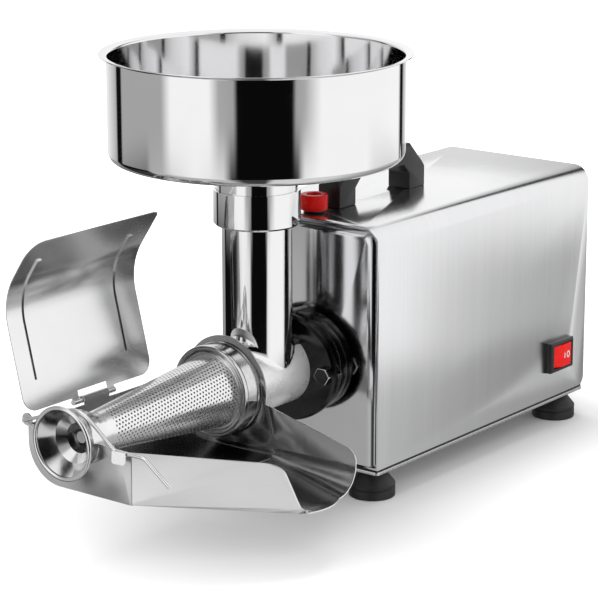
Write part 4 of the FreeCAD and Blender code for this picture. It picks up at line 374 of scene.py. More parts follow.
bpy.ops.mesh.primitive_cylinder_add(vertices=64, radius=PANEL_BORE, depth=0.06,
                                    location=(0, FRONT, AXIS), rotation=(math.pi / 2, 0, 0))
drill = bpy.context.object
pick(panel)
bore = panel.modifiers.new("bore", "BOOLEAN")
bore.object = drill
bpy.ops.object.modifier_apply(modifier="bore")
bpy.data.objects.remove(drill)
finish(panel, "machine", panel_steel, 40)
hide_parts("front_panel")

# Carry handle: one black plastic moulding, a bar on two legs with softened edges,
# held by two screws from inside the cover.

black_plastic, shader, tree = new_finish("black plastic", Specular_IOR_Level=0.45)
grain = noise(tree, 1500.0)
scuffs = noise(tree, 70.0, detail=4.0)
tint(tree, shader, scuffs, (0.007, 0.007, 0.008), (0.017, 0.017, 0.018))
feed(shader, "Roughness", scuffs * 0.18 + 0.26)
relief(tree, shader, grain, 0.22, 0.0002)
dressed("carry_handle", black_plastic, edge=0.0007)

# Push button: a red plastic cap with a finger recess, sprung, on a black threaded
# collar that clamps the switch in the cover.

red_plastic, shader, tree = new_finish("red plastic", Specular_IOR_Level=0.2)
scuffs = noise(tree, 90.0, detail=4.0)
tint(tree, shader, scuffs, (0.76, 0.006, 0.004), (0.86, 0.010, 0.006))
feed(shader, "Roughness", scuffs * 0.14 + 0.20)
relief(tree, shader, scuffs, 0.03, 0.0003)
dressed("button_collar", black_plastic, edge=0.0003)
CAP_FOOT, CAP_DROP = 0.240, 0.0032
dressed("reset_button", red_plastic, edge=0.0006,
        reshape=lambda spots: spots - (spots[:, 2:] > CAP_FOOT) * (0, 0, CAP_DROP))

# Rocker switch: a black bezel pressed into the cover round a red rocker, with the
# on and off marks moulded in white on its right half.


def soft_edges(piece, width, steps=2, angle=35.0):
    """Rounds the sharp edges of a piece a little, as real edges are."""
    pick(piece)
    bevel = piece.modifiers.new("edges", "BEVEL")
    bevel.width = width
    bevel.segments = steps
    bevel.limit_method = "ANGLE"
    bevel.angle_limit = math.radians(angle)
    bevel.use_clamp_overlap = True
    bpy.ops.object.modifier_apply(modifier="edges")


def prism(name, path, depth):
    """A straight piece with one outline all through, centred on its depth in Z."""
    bpy.ops.object.select_all(action="DESELECT")
    bpy.ops.mesh.primitive_circle_add(vertices=len(path), fill_type="NGON")
    piece = bpy.context.object
    piece.name = name
    for vertex, (x, y) in zip(piece.data.vertices, path):
        vertex.co = (x, y, -depth / 2)
    bpy.ops.object.mode_set(mode="EDIT")
    bpy.ops.mesh.select_all(action="SELECT")
    bpy.ops.mesh.extrude_region_move(TRANSFORM_OT_translate={"value": (0, 0, depth)})
    bpy.ops.mesh.select_all(action="SELECT")
    bpy.ops.mesh.normals_make_consistent(inside=False)
    bpy.ops.object.mode_set(mode="OBJECT")
    return piece


dressed("switch_bezel", black_plastic, edge=0.0005)

white_mark, shader, tree = new_finish("white mark")
scuffs = noise(tree, 600.0)
tint(tree, shader, scuffs, (0.72, 0.70, 0.68), (0.85, 0.84, 0.82))
feed(shader, "Roughness", scuffs * 0.2 + 0.35)

PIVOT = Vector((0.080, 0.114, 0.0653))
ROCKER_TILT = math.radians(-9.0)
ROCKER_RIDGE, ROCKER_END, ROCKER_HALF, ROCKER_HEIGHT = 0.0062, 0.0039, 0.0130, 0.0200
ROCKER_SIDE, ROCKER_BACK, ROCKER_BACK_HALF = 0.0040, -0.0050, 0.0078
FACE_TILT = math.atan2(ROCKER_END - ROCKER_RIDGE, ROCKER_HALF)
MARK_PROUD = 0.00012
rocker = prism("switch_rocker_skin", [
    (ROCKER_BACK, -ROCKER_BACK_HALF),
    (ROCKER_END - ROCKER_SIDE, -ROCKER_HALF),
    (ROCKER_END, -ROCKER_HALF),
    (ROCKER_RIDGE, 0.0),
    (ROCKER_END, ROCKER_HALF),
    (ROCKER_END - ROCKER_SIDE, ROCKER_HALF),
    (ROCKER_BACK, ROCKER_BACK_HALF),
], ROCKER_HEIGHT)
rocker.location = PIVOT
rocker.rotation_euler = (0, 0, ROCKER_TILT)
soft_edges(rocker, 0.0004, angle=15)
finish(rocker, "rocker", red_plastic, 20)
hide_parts("switch_rocker")


def on_rocker(piece, along):
    """Lays a mark on the rocker's face, at a distance along it from the ridge."""
    side = math.copysign(1.0, along)
    proud = ROCKER_RIDGE + abs(along) * math.tan(FACE_TILT) + MARK_PROUD
    piece.rotation_euler = (0, 0, 0)
    face = Matrix.Rotation(ROCKER_TILT, 4, "Z")
    lean = Matrix.Rotation(-side * FACE_TILT, 4, "Z")
    upright = Matrix.Rotation(math.pi / 2, 4, "Y")
    spot = Matrix.Translation(Vector((proud, along, 0)))
    piece.matrix_world = Matrix.Translation(PIVOT) @ face @ spot @ lean @ upright


bpy.ops.object.select_all(action="DESELECT")
bpy.ops.mesh.primitive_torus_add(major_radius=0.0020, minor_radius=0.00050,
                                 major_segments=40, minor_segments=8)
off_mark = bpy.context.object
off_mark.name = "rocker_mark_off"
off_mark.scale = (1.25, 1.0, 0.4)
bpy.ops.object.transform_apply(location=False, rotation=False, scale=True)
on_rocker(off_mark, 0.0080)
finish(off_mark, "rocker", white_mark)

bpy.ops.object.select_all(action="DESELECT")
bpy.ops.mesh.primitive_cube_add(size=1, scale=(0.0046, 0.0009, 0.0004))
on_mark = bpy.context.object
on_mark.name = "rocker_mark_on"
bpy.ops.object.transform_apply(location=False, rotation=False, scale=True)
on_rocker(on_mark, 0.0022)
finish(on_mark, "rocker", white_mark)

# Cable gland: black nylon gland, screwed into the back panel with its nut inside;
# the push switch's body under the cover is of the same plastic.

dressed("cable_gland", black_plastic, edge=0.0003)
painted(["gland_nut", "button_switch"], black_plastic)

# Drive: motor, two reduction stages and their bearings, all inside the housing, in
# oiled steel, cast aluminium and dark enamel.

cast_aluminium, shader, tree = new_finish("cast aluminium", Metallic=1.0)
grain = noise(tree, 500.0, detail=4.0)
tint(tree, shader, grain, (0.45, 0.45, 0.45), (0.6, 0.6, 0.6))
feed(shader, "Roughness", grain * 0.2 + 0.45)
relief(tree, shader, grain, 0.4, 0.0006)

motor_enamel, shader, tree = new_finish("motor enamel")
grain = noise(tree, 700.0)
tint(tree, shader, grain, (0.02, 0.022, 0.025), (0.035, 0.037, 0.04))
feed(shader, "Roughness", grain * 0.2 + 0.3)
relief(tree, shader, grain, 0.1, 0.0002)

painted(["gearbox_case", "gearbox_cover", "run_capacitor"], cast_aluminium)
painted(["motor_case"], motor_enamel)
painted(["cooling_fan", "shaft_seal"], black_plastic)
painted(["output_shaft", "output_gear", "layshaft", "layshaft_gear", "layshaft_pinion",
         "motor_pinion", "motor_rotor", "front_bearing", "rear_bearing",
         "layshaft_front_bearing", "layshaft_rear_bearing", "motor_front_bearing",
         "motor_rear_bearing", "motor_cradle", "flange_screws"], machined_steel)

# Head: one stainless casting of barrel, flange and feed neck, polished to a mirror,
# bolted to a flange on the housing. Both flanges are oval, their faces coloured near
# black as painted dark reflection, and bright at their rims.

mirror_steel, shader, tree = new_finish("mirror steel", Metallic=1.0)
smear = noise(tree, 30.0, detail=4.0)
waves = noise(tree, 14.0, detail=1.0)
tint(tree, shader, smear, (0.86, 0.86, 0.865), (0.92, 0.92, 0.925))
feed(shader, "Roughness", smear * 0.04 + 0.035)
relief(tree, shader, waves, 0.02, 0.01)

# A near-black base colour on polished steel: painted dark reflection for the flanges, their bolts
# and nuts.
painted_dark_reflection, shader, tree = new_finish("painted dark reflection", Metallic=1.0)
grain = noise(tree, 300.0, detail=3.0)
tint(tree, shader, grain, (0.030, 0.030, 0.031), (0.060, 0.060, 0.062))
feed(shader, "Roughness", grain * 0.15 + 0.16)
relief(tree, shader, grain, 0.08, 0.0003)

barrel_steel, shader, tree = new_finish("barrel steel", Metallic=0.55)
smear = noise(tree, 45.0, detail=5.0)
speckle = noise(tree, 900.0)
tint(tree, shader, smear, (0.86, 0.86, 0.865), (0.95, 0.95, 0.955))
feed(shader, "Roughness", smear * 0.12 + 0.22)
relief(tree, shader, speckle, 0.06, 0.0002)

BARREL_RADIUS, BARREL_TOP, FLANGE_FRONT = 0.0294, 0.130, 0.0235
FLANGE_SET_BACK, FLANGE_MIDDLE, FLANGE_FILLET_END = 0.0025, 0.0185, 0.0262
HEAD_ROUND, HEAD_OVAL = 0.051, (0.0535, 0.045, 0.040)
GEARBOX_HUB, GEARBOX_ROUND, GEARBOX_OVAL = 0.0342, 0.053, (0.0490, 0.0425, 0.0390)
OVAL_FADE, MARGIN = 0.008, 0.0003
BOLT_HEADS_OUT, BOLT_SHIFT = 0.0182, 0.0025


def oval_reach(turn, half_width, half_height, bend):
    """How far the oval flange reaches at an angle: tight bends at its two sides, and
    wide bends over the top and bottom that run into them."""
    out, gap = half_width - bend, half_height - bend
    deep = (out * out - gap * gap) / (gap * 2)
    wide = deep + half_height
    across, up = np.abs(np.cos(turn)), np.abs(np.sin(turn))
    side = out * across + np.sqrt(np.maximum(bend ** 2 - (out * up) ** 2, 0))
    top = np.sqrt(wide ** 2 - (deep * across) ** 2) - deep * up
    meet = math.atan2(bend * deep / wide, out + bend * out / wide)
    return np.where(np.arctan2(up, across) < meet, side, top)


def made_oval(spots, hub, round_reach, oval, set_back):
    """Moves the points of a round flange on to the oval outline, and its front back."""
    out = FRONT - spots[:, 1]
    x, rise = spots[:, 0], spots[:, 2] - AXIS
    reach, turn = np.hypot(x, rise), np.arctan2(rise, x)
    flange = (out < FLANGE_FILLET_END) & (reach > hub - 0.0002)
    share = np.clip((reach - hub) / OVAL_FADE, 0, 1) * flange
    reach = reach + (oval_reach(turn, *oval) - round_reach) * share
    back = flange & (out > FLANGE_MIDDLE)
    return np.stack([
        reach * np.cos(turn),
        spots[:, 1] + back * set_back,
        reach * np.sin(turn) + AXIS,
    ], axis=1)


def head_shape(spots):
    """The head's flange on its oval, set back."""
    return made_oval(spots, BARREL_RADIUS, HEAD_ROUND, HEAD_OVAL, FLANGE_SET_BACK)


def gearbox_flange_shape(spots):
    """The housing's flange on its oval."""
    return made_oval(spots, GEARBOX_HUB, GEARBOX_ROUND, GEARBOX_OVAL, 0.0)


def spread(spots):
    """Moves bolts and nuts out with the oval's sides, and their heads back on it."""
    heads = FRONT - spots[:, 1] > BOLT_HEADS_OUT
    shift = (np.sign(spots[:, 0]) * BOLT_SHIFT, heads * FLANGE_SET_BACK, heads * 0.0)
    return spots + np.stack(shift, axis=1)


head = dressed("head_casting", mirror_steel, reshape=head_shape)
head.data.materials.append(painted_dark_reflection)
head.data.materials.append(barrel_steel)
# The flange's faces take the near-black painted dark reflection; the barrel takes the satin steel.
for face in head.data.polygons:
    out = FRONT - face.center.y
    reach = math.hypot(face.center.x, face.center.z - AXIS)
    if out < FLANGE_FRONT + MARGIN and reach > BARREL_RADIUS + MARGIN:
        face.material_index = 1
    elif reach < BARREL_RADIUS + MARGIN and face.center.z < BARREL_TOP:
        face.material_index = 2

dressed("gearbox_flange", painted_dark_reflection, edge=0.0006, bright=mirror_steel,
        reshape=gearbox_flange_shape)
dressed("flange_bolts", painted_dark_reflection, edge=0.0005, bright=mirror_steel, reshape=spread)
dressed("flange_nuts", painted_dark_reflection, edge=0.0005, bright=mirror_steel, reshape=spread)

# Auger: cast stainless screw on the drive's square tang, which feeds the fruit
# along the barrel and the cone.

cast_steel, shader, tree = new_finish("cast steel", Metallic=1.0)
grain = noise(tree, 260.0, detail=3.0)
tint(tree, shader, grain, (0.40, 0.40, 0.40), (0.55, 0.55, 0.55))
feed(shader, "Roughness", grain * 0.2 + 0.25)
relief(tree, shader, grain, 0.1, 0.0004)
dressed("auger", cast_steel)

# Screen: thin stainless sheet punched with staggered holes all over, rolled into a
# cone and welded along a lap underneath, with a plain band at each end.

HEAD = Vector((0, FRONT, AXIS))
SCREEN_BASE, SCREEN_BASE_OUT = 0.0290, 0.1128
SCREEN_TIP, SCREEN_TIP_OUT = 0.0155, 0.2460
SCREEN_SHEET = 0.0008
HOLE_PITCH, HOLE_ACROSS, CELL_POINTS = 0.0033, 0.0016, 24
SEAM_CLEAR = 0.6 * HOLE_PITCH
SEAM_MIDDLE_OUT, SEAM_LENGTH, SEAM_WIDTH = 0.1800, 0.1250, 0.0046
cone_tan = (SCREEN_BASE - SCREEN_TIP) / (SCREEN_TIP_OUT - SCREEN_BASE_OUT)
cone_angle = math.atan(cone_tan)
apex_out = SCREEN_TIP_OUT + SCREEN_TIP / cone_tan
slant_tip = SCREEN_TIP / math.sin(cone_angle)
slant_base = SCREEN_BASE / math.sin(cone_angle)
half_sector = math.pi * math.sin(cone_angle)

screen_steel, shader, tree = new_finish("screen steel", Metallic=0.85)
smear = noise(tree, 60.0, detail=3.0)
tint(tree, shader, smear, (0.86, 0.86, 0.865), (0.95, 0.95, 0.955))
feed(shader, "Roughness", smear * 0.08 + 0.16)

cell_radius = HOLE_PITCH / math.sqrt(3)
row_step = 1.5 * cell_radius
for row, shift in ((0, 0), (1, HOLE_PITCH / 2)):
    bpy.ops.object.select_all(action="DESELECT")
    bpy.ops.mesh.primitive_circle_add(vertices=6, radius=cell_radius, fill_type="NGON",
                                      location=(shift, row * row_step, 0))
    cell = bpy.context.object
    bpy.ops.object.mode_set(mode="EDIT")
    bpy.ops.mesh.select_all(action="SELECT")
    bpy.ops.mesh.subdivide(number_cuts=1)
    bpy.ops.mesh.inset(thickness=(HOLE_PITCH - HOLE_ACROSS) / 2)
    bpy.ops.transform.tosphere(value=1.0)
    bpy.ops.mesh.delete(type="FACE")
    bpy.ops.object.mode_set(mode="OBJECT")
    bpy.ops.object.transform_apply(location=True, rotation=False, scale=False)
    if row == 0:
        screen = cell
pick(cell, screen)
bpy.ops.object.join()
screen.name = "screen_sheet"
start = slant_tip * math.cos(half_sector)
half_width = slant_base * math.sin(half_sector)
columns = int((slant_base - start) / HOLE_PITCH) + 2
rows = int(2 * half_width / (2 * row_step)) + 2
repeats = (("columns", columns, (HOLE_PITCH, 0, 0)), ("rows", rows, (0, 2 * row_step, 0)))
for label, count, step in repeats:
    array = screen.modifiers.new(label, "ARRAY")
    array.count = count
    array.use_relative_offset = False
    array.use_constant_offset = True
    array.constant_offset_displace = step
    bpy.ops.object.modifier_apply(modifier=label)

flat = np.empty(len(screen.data.vertices) * 3)
screen.data.vertices.foreach_get("co", flat)
flat = flat.reshape(-1, 3) + (start, -half_width, 0)
cells = flat.reshape(-1, CELL_POINTS, 3).mean(axis=1)
slant = np.hypot(cells[:, 0], cells[:, 1])
turn = np.abs(np.arctan2(cells[:, 1], cells[:, 0]))
inside = (slant > slant_tip) & (slant < slant_base) & (turn < half_sector - SEAM_CLEAR / slant)
slant = np.hypot(flat[:, 0], flat[:, 1])
turn = np.arctan2(flat[:, 1], flat[:, 0]) / math.sin(cone_angle)
radius = slant * math.sin(cone_angle)
rolled = np.stack([
    HEAD.x + radius * np.sin(turn),
    HEAD.y - apex_out + slant * math.cos(cone_angle),
    HEAD.z + radius * np.cos(turn),
], axis=1)
screen.data.vertices.foreach_set("co", rolled.ravel())
screen.data.vertices.foreach_set("select", np.repeat(~inside, CELL_POINTS))
screen.data.edges.foreach_set("select", np.zeros(len(screen.data.edges), bool))
screen.data.polygons.foreach_set("select", np.zeros(len(screen.data.polygons), bool))
pick(screen)
bpy.context.tool_settings.mesh_select_mode = (True, False, False)
bpy.ops.object.mode_set(mode="EDIT")
bpy.ops.mesh.delete(type="VERT")
bpy.ops.mesh.select_all(action="SELECT")
bpy.ops.mesh.remove_doubles(threshold=0.00001)
bpy.ops.mesh.normals_make_consistent(inside=False)
bpy.ops.object.mode_set(mode="OBJECT")
thick = screen.modifiers.new("sheet", "SOLIDIFY")
thick.thickness = SCREEN_SHEET
thick.offset = -1
bpy.ops.object.modifier_apply(modifier="sheet")
finish(screen, "machine", screen_steel, 30)
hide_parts("screen_cone")


def cone_at(out):
    """The screen's outer radius at a distance out from the housing."""
    return (apex_out - out) * cone_tan


BAND_PROUD = 0.00015
band = turned("screen_base_band", rounded([
    (cone_at(0.1133) - SCREEN_SHEET, 0.1118),
    (0.0330, 0.1118),
    (0.0330, 0.1128, 0.0004),
    (cone_at(0.1134) + BAND_PROUD, 0.1134, 0.0004),
    (cone_at(0.1150) + BAND_PROUD, 0.1150),
    (cone_at(0.1150) - SCREEN_SHEET, 0.1150),
]), HEAD, out=True)
finish(band, "machine", screen_steel)

band = turned("screen_tip_band", rounded([
    (cone_at(0.2400) - SCREEN_SHEET, 0.2400),
    (cone_at(0.2400) + BAND_PROUD, 0.2400),
    (SCREEN_TIP + BAND_PROUD, 0.2460, 0.0004),
    (SCREEN_TIP + BAND_PROUD, 0.2520, 0.0003),
    (SCREEN_TIP - SCREEN_SHEET, 0.2520),
]), HEAD, out=True, turns=96)
finish(band, "machine", screen_steel)

bpy.ops.object.select_all(action="DESELECT")
bpy.ops.mesh.primitive_grid_add(x_subdivisions=6, y_subdivisions=24, size=1)
seam = bpy.context.object
seam.name = "screen_seam"
spots = np.empty(len(seam.data.vertices) * 3)
seam.data.vertices.foreach_get("co", spots)
spots = spots.reshape(-1, 3)
out = SEAM_MIDDLE_OUT + spots[:, 1] * SEAM_LENGTH
radius = cone_at(out) + BAND_PROUD
turn = math.pi + spots[:, 0] * SEAM_WIDTH / radius
lap = np.stack([
    HEAD.x + radius * np.sin(turn),
    HEAD.y - out,
    HEAD.z + radius * np.cos(turn),
], axis=1)
seam.data.vertices.foreach_set("co", lap.ravel())
pick(seam)
bpy.ops.object.mode_set(mode="EDIT")
bpy.ops.mesh.select_all(action="SELECT")
bpy.ops.mesh.normals_make_consistent(inside=False)
bpy.ops.object.mode_set(mode="OBJECT")
thick = seam.modifiers.new("sheet", "SOLIDIFY")
thick.thickness = SCREEN_SHEET
thick.offset = 0
bpy.ops.object.modifier_apply(modifier="sheet")
finish(seam, "machine", screen_steel)

# Ring nut: turned stainless ring that clamps the screen's flange on the barrel; its
# rim is rolled and its face slightly hollow.

turned_steel, shader, tree = new_finish("turned steel", Metallic=1.0)
grain = noise(tree, 200.0, detail=3.0)
tint(tree, shader, grain, (0.62, 0.62, 0.625), (0.78, 0.78, 0.785))
feed(shader, "Roughness", grain * 0.1 + 0.11)
relief(tree, shader, grain, 0.03, 0.0003)

ring = turned("ring_nut_skin", rounded([
    (0.03315, 0.0950),
    (0.0367, 0.0950, 0.0006),
    (0.0367, 0.0978, 0.0004),
    (0.0362, 0.0984, 0.0004),
    (0.0362, 0.1100, 0.0008),
    (0.0367, 0.1114, 0.0006),
    (0.0367, 0.1150, 0.0014),
    (0.0344, 0.1150, 0.0012),
    (0.0338, 0.1139, 0.0006),
    (0.0318, 0.1142, 0.0004),
    (0.0311, 0.1148, 0.0003),
    (0.0309, 0.1129),
    (0.03315, 0.1129),
]), HEAD, out=True)
finish(ring, "machine", turned_steel, 40)
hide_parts("ring_nut")

# Outlet horn: spun stainless funnel on the end of the screen, with a grooved collar
# for the wire clip and a beaded mouth.

satin_steel, shader, tree = new_finish("satin steel", Metallic=1.0)
grain = noise(tree, 300.0, detail=3.0)
tint(tree, shader, grain, (0.80, 0.80, 0.805), (0.90, 0.90, 0.905))
feed(shader, "Roughness", grain * 0.08 + 0.12)
dressed("outlet_horn", satin_steel)

# Juice tray: folded stainless sheet under the screen, satin outside; inside it is coloured
# darker as painted shade and painted dark reflection, with a spout at the right and a catch for the
# wire clip's end.

tray_outside, shader, tree = new_finish("tray outside", Metallic=1.0)
fine = noise(tree, 1.0, (60, 60, 900), 3.0, 0.3)
cloud = noise(tree, 14.0)
tint(tree, shader, fine * 0.5 + cloud * 0.5, (0.78, 0.78, 0.785), (0.88, 0.88, 0.885))
feed(shader, "Roughness", cloud * 0.08 + fine * 0.08 + 0.26)

# The tray's inside is the same steel as its outside; its darker base colour is painted shade and
# painted dark reflection.
tray_inside_painted_shade, shader, tree = new_finish("tray inside painted shade", Metallic=1.0)
fine = noise(tree, 1.0, (500, 500, 30), 3.0)
cloud = noise(tree, 20.0)
tint(tree, shader, fine * 0.4 + cloud * 0.6, (0.36, 0.36, 0.362), (0.50, 0.50, 0.502))
feed(shader, "Roughness", cloud * 0.06 + fine * 0.06 + 0.15)

TRAY_FRONT_OUT, FOLD_SIDE, SPOUT_SLOPE = 0.265, 0.050, 103 / 80.5
LOBE_SIDE, LOBE_RISE, LOBE_RADIUS = 0.08852, -0.05485, 0.042
LOBE_START, LOBE_SWEEP = 69.1, 70.7
CATCH_LEFT, CATCH_RIGHT, CATCH_LOW, CATCH_TOP = 0.0365, 0.0472, -0.0095, 0.0002
CATCH_SHIFT, TROUGH_MIDDLE = 0.0032, Vector((0.020, -0.345, 0.100))
SHOULDER = ((0.0, 0.1035, -0.01561), (0.06, 0.1115, -0.01765), (0.18, 0.1141, -0.01865),
            (0.30, 0.1166, -0.02030), (0.42, 0.1188, -0.02240), (0.54, 0.1205, -0.02500),
            (0.66, 0.1216, -0.02790), (0.76, 0.1248, -0.04060), (0.84, 0.1280, -0.05350),
            (0.90, 0.1288, -0.05510), (1.0, 0.1305, -0.05640))


def trimmed(spots):
    """Gives the spout's front wall a shoulder and a steep drop to the lip, and sets
    the catch for the clip's end where the wire comes down."""
    x, y, rise = spots[:, 0], spots[:, 1] - FRONT, spots[:, 2] - AXIS
    behind = y + TRAY_FRONT_OUT - (x - FOLD_SIDE) * SPOUT_SLOPE
    across, up = x - LOBE_SIDE, rise - LOBE_RISE
    on_wall = (x > 0.1030) & (behind > -0.0005) & (behind < 0.0025)
    edge = on_wall & (np.abs(np.hypot(across, up) - LOBE_RADIUS) < 0.0003)
    share = (LOBE_START - np.degrees(np.arctan2(up, across))) / LOBE_SWEEP
    shares, sides, rises = zip(*SHOULDER)
    catch = (y < 0.00005 - TRAY_FRONT_OUT) & (x > CATCH_LEFT) & (x < CATCH_RIGHT)
    catch = catch & (rise > CATCH_LOW) & (rise < CATCH_TOP)
    new_x = np.where(edge, np.interp(share, shares, sides), np.where(catch, x + CATCH_SHIFT, x))
    new_y = spots[:, 1] + (new_x - x) * edge * SPOUT_SLOPE
    new_rise = np.where(edge, np.interp(share, shares, rises), rise)
    return np.stack([new_x, new_y, new_rise + AXIS], axis=1)


tray = dressed("juice_tray", tray_outside, edge=0.0002, bright=polished_edge, sharp=25,
               reshape=trimmed)
tray.data.materials.append(tray_inside_painted_shade)
# Faces turned towards the trough's middle take the darker inside colour: painted shade and painted
# dark reflection.
for face in tray.data.polygons:
    if face.material_index == 0 and face.normal.dot(TROUGH_MIDDLE - face.center) > 0:
        face.material_index = 2

catch_tab = prism("catch_tab", rounded([
    (-0.0058, -0.0048, 0.0022),
    (0.0058, -0.0048, 0.0022),
    (0.0058, 0.0046, 0.0006),
    (-0.0058, 0.0046, 0.0006),
], 5), 0.0010)
catch_tab.rotation_euler = (math.radians(84), 0, math.radians(9))
catch_tab.location = (0.0450, FRONT - 0.2713, 0.1033)
finish(catch_tab, "machine", polished_edge)

# Wire clip: one bent spring wire from the tray's left wall over the outlet's
# collar, its end caught under the tray's catch.

dressed("wire_clip", mirror_steel)

# Splash guard: curved stainless sheet with two pressed ribs, hinged on the tray's
# left wall and folded over the screen in use.

guard_steel, shader, tree = new_finish("guard steel", Metallic=1.0)
smear = noise(tree, 35.0, detail=4.0)
speckle = noise(tree, 900.0)
tint(tree, shader, smear, (0.84, 0.84, 0.845), (0.93, 0.93, 0.935))
feed(shader, "Roughness", smear * 0.08 + 0.16)
relief(tree, shader, speckle, 0.05, 0.0002)
dressed("splash_guard", guard_steel)

# Hopper: spun mirror-finish bowl with a rolled rim, and the tube under it that drops
# into the neck's collar.

BOWL = Vector((0, -0.2115, AXIS))
bowl = turned("hopper_bowl_skin", rounded([
    (0.0310, 0.1744),
    (0.0322, 0.1744),
    (0.0322, 0.1770),
    (0.1165, 0.1770, 0.0070),
    (0.1165, 0.2583, 0.0012),
    (0.1216, 0.2592, 0.0020),
    (0.1227, 0.2598, 0.0003),
    (0.1224, 0.2605, 0.0003),
    (0.1208, 0.2601, 0.0020),
    (0.1155, 0.2592, 0.0022),
    (0.1155, 0.1780, 0.0060),
    (0.0310, 0.1780),
]), BOWL, turns=192)
finish(bowl, "hopper", mirror_steel, 40)
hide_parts("hopper_bowl")
dressed("hopper_spigot", mirror_steel)

# Floor: a plain matt white sheet; away from the housing it also glows for the camera
# alone, so that it runs out to pure white round the object's shadow.


def grey(level):
    """A plain grey as a colour with its alpha."""
    return (level, level, level, 1.0)


HOUSING_HALVES = (0.08, 0.1575, 0)
bpy.ops.object.select_all(action="DESELECT")
bpy.ops.mesh.primitive_plane_add(size=60, location=(0, 0, -0.0002))
floor = bpy.context.object
floor.name = "studio_floor"
floor_paint = bpy.data.materials.new("floor paint")
floor_paint.use_nodes = True
floor_paint.node_tree.nodes.clear()
tree = Value(floor_paint.node_tree)
seen = tree.node("ShaderNodeLightPath", output="Is Camera Ray")
matt = tree.node("ShaderNodeBsdfDiffuse", {}, {"Color": grey(0.78)})
spot = tree.node("ShaderNodeTexCoord", output="Object")
both_ways = tree.node("ShaderNodeVectorMath", {"operation": "ABSOLUTE"}, {0: spot})
past = tree.node("ShaderNodeVectorMath", {"operation": "SUBTRACT"},
                 {0: both_ways, 1: HOUSING_HALVES})
past = tree.node("ShaderNodeVectorMath", {"operation": "MAXIMUM"}, {0: past, 1: (0, 0, 0)})
away = tree.node("ShaderNodeVectorMath", {"operation": "LENGTH"}, {0: past}, output=1)
far = tree.node("ShaderNodeMapRange", {},
                {"Value": away, "From Min": 0.02, "From Max": 0.45, "To Min": 0.0, "To Max": 0.9})
glow = tree.node("ShaderNodeEmission", {}, {"Color": grey(1.0), "Strength": seen * far})
both = tree.node("ShaderNodeAddShader", {}, {0: matt, 1: glow})
tree.node("ShaderNodeOutputMaterial", {}, {"Surface": both})
floor.data.materials.append(floor_paint)
floor.visible_glossy = False

# Tent: a round screen of light and dark stripes that shows only in glossy surfaces;
# the bowl sees its upper band, the neck and the outlet its lower one, the tray the
# bottom.

CAMERA_TURN = math.radians(37.78)
TENT_RADIUS = 1.1
bpy.ops.object.select_all(action="DESELECT")
bpy.ops.mesh.primitive_uv_sphere_add(segments=96, ring_count=48, radius=TENT_RADIUS,
                                     location=(0, -0.15, 0.15), rotation=(0, 0, CAMERA_TURN))
tent = bpy.context.object
tent.name = "studio_tent"
tent_glow = bpy.data.materials.new("tent glow")
tent_glow.use_nodes = True
tent_glow.node_tree.nodes.clear()
tree = Value(tent_glow.node_tree)
place = tree.node("ShaderNodeTexCoord", output="Object")
apart = place.node("ShaderNodeSeparateXYZ", {}, {"Vector": place}).socket.node.outputs
x, y, z = (Value(place.tree, socket) for socket in apart)
bearing = x.math("ARCTAN2", y * -1.0) * (0.5 / math.pi) + 0.5


def stripes(bands):
    """Grey levels round the tent by bearing in degrees: 0 at the camera, positive
    to the right."""
    stops = [(degrees / 360.0 + 0.5, grey(level)) for degrees, level in bands]
    return tree.node("ShaderNodeValToRGB", {"stops": stops}, {"Fac": bearing})


def blend(factor, first, second):
    """The first colour where the factor is 0, and the second where it is 1."""
    return tree.node("ShaderNodeMix", {"data_type": "RGBA"},
                     {0: factor, 6: first, 7: second}, output=2)


def above(low, high):
    """0 below one height over the floor, 1 above another."""
    return tree.node("ShaderNodeMapRange", {"interpolation_type": "SMOOTHSTEP"},
                     {"Value": z + 0.15, "From Min": low, "From Max": high})


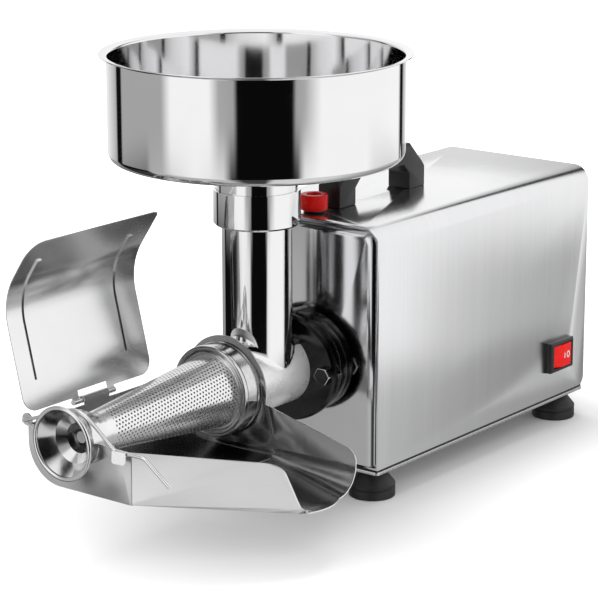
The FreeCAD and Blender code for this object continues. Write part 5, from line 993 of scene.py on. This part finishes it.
upper = stripes([
    (-180, 1.00), (-150, 0.85), (-134, 0.60), (-127, 0.45), (-125.5, 0.004), (-118, 0.004),
    (-116.5, 0.40), (-71, 0.40), (-63, 1.0), (-34, 1.0), (-27, 0.42), (-16.5, 0.38),
    (-14.5, 0.003), (24.5, 0.003), (26.5, 0.38), (33, 0.42), (46, 1.0), (136, 1.0),
    (138.5, 0.6), (140.5, 0.004), (147, 0.004), (149.5, 0.45), (160, 0.8), (168, 1.05),
    (180, 1.00),
])
lower = stripes([
    (-180, 0.35), (-128, 0.30), (-124, 0.004), (-86, 0.004), (-82, 0.45), (-70, 0.52),
    (-45, 0.95), (-24, 0.80), (-18.5, 0.003), (28, 0.003), (33, 0.9), (44, 1.0),
    (88, 1.0), (96, 0.74), (110, 0.56), (130, 0.44), (150, 0.35), (180, 0.35),
])
bottom = stripes([
    (-180, 0.20), (-128, 0.20), (-124, 0.02), (-86, 0.05), (-82, 0.36), (-70, 0.42),
    (-24, 0.55), (-12, 0.05), (6, 0.05), (12, 0.66), (60, 0.70), (92, 0.46),
    (110, 0.36), (130, 0.28), (180, 0.20),
])
sides = blend(above(-0.06, 0.06), blend(above(-0.21, -0.155), bottom, lower), upper)
ceiling = above(0.85, 1.15)
glow = tree.node("ShaderNodeEmission", {},
                 {"Color": blend(ceiling, sides, grey(0.95)), "Strength": 1.0})
tree.node("ShaderNodeOutputMaterial", {}, {"Surface": glow})
tent.data.materials.append(tent_glow)
tent.visible_camera = False
tent.visible_diffuse = False
tent.visible_shadow = False
tent.visible_transmission = False
tent.visible_volume_scatter = False

# Lamps, world and camera: one broad lamp overhead and one to the right of the camera,
# both unseen by glossy surfaces, in a white world; a long lens looks down a little.

LOOK_AT = Vector((0, FRONT, 0.1584))
CAMERA_PLACE = Vector((1.20375, -1.71048, 0.67241))
for name, place, size, power in (
    ("overhead lamp", (-0.2, 0.1, 1.7), 0.9, 16.0),
    ("front lamp", (1.4, -1.5, 1.5), 0.9, 12.0),
):
    bpy.ops.object.light_add(type="AREA", location=place)
    lamp = bpy.context.object
    lamp.name = name
    lamp.data.size = size
    lamp.data.energy = power
    lamp.rotation_euler = (LOOK_AT - Vector(place)).to_track_quat("-Z", "Y").to_euler()
    lamp.visible_glossy = False

world = bpy.data.worlds.new("studio")
bpy.context.scene.world = world
world.use_nodes = True
world.node_tree.nodes.clear()
tree = Value(world.node_tree)
seen = tree.node("ShaderNodeLightPath", output="Is Camera Ray")
shine = tree.node("ShaderNodeBackground", {}, {"Color": grey(1.0), "Strength": seen * 0.15 + 0.85})
tree.node("ShaderNodeOutputWorld", {}, {"Surface": shine})

bpy.ops.object.camera_add(location=CAMERA_PLACE)
camera = bpy.context.object
camera.rotation_euler = (LOOK_AT - CAMERA_PLACE).to_track_quat("-Z", "Y").to_euler()
camera.data.lens = 150.0
camera.data.sensor_width = 36.0
camera.data.clip_start = 0.05
camera.data.clip_end = 100.0
bpy.context.scene.camera = camera
bpy.context.scene.view_settings.view_transform = "Standard"
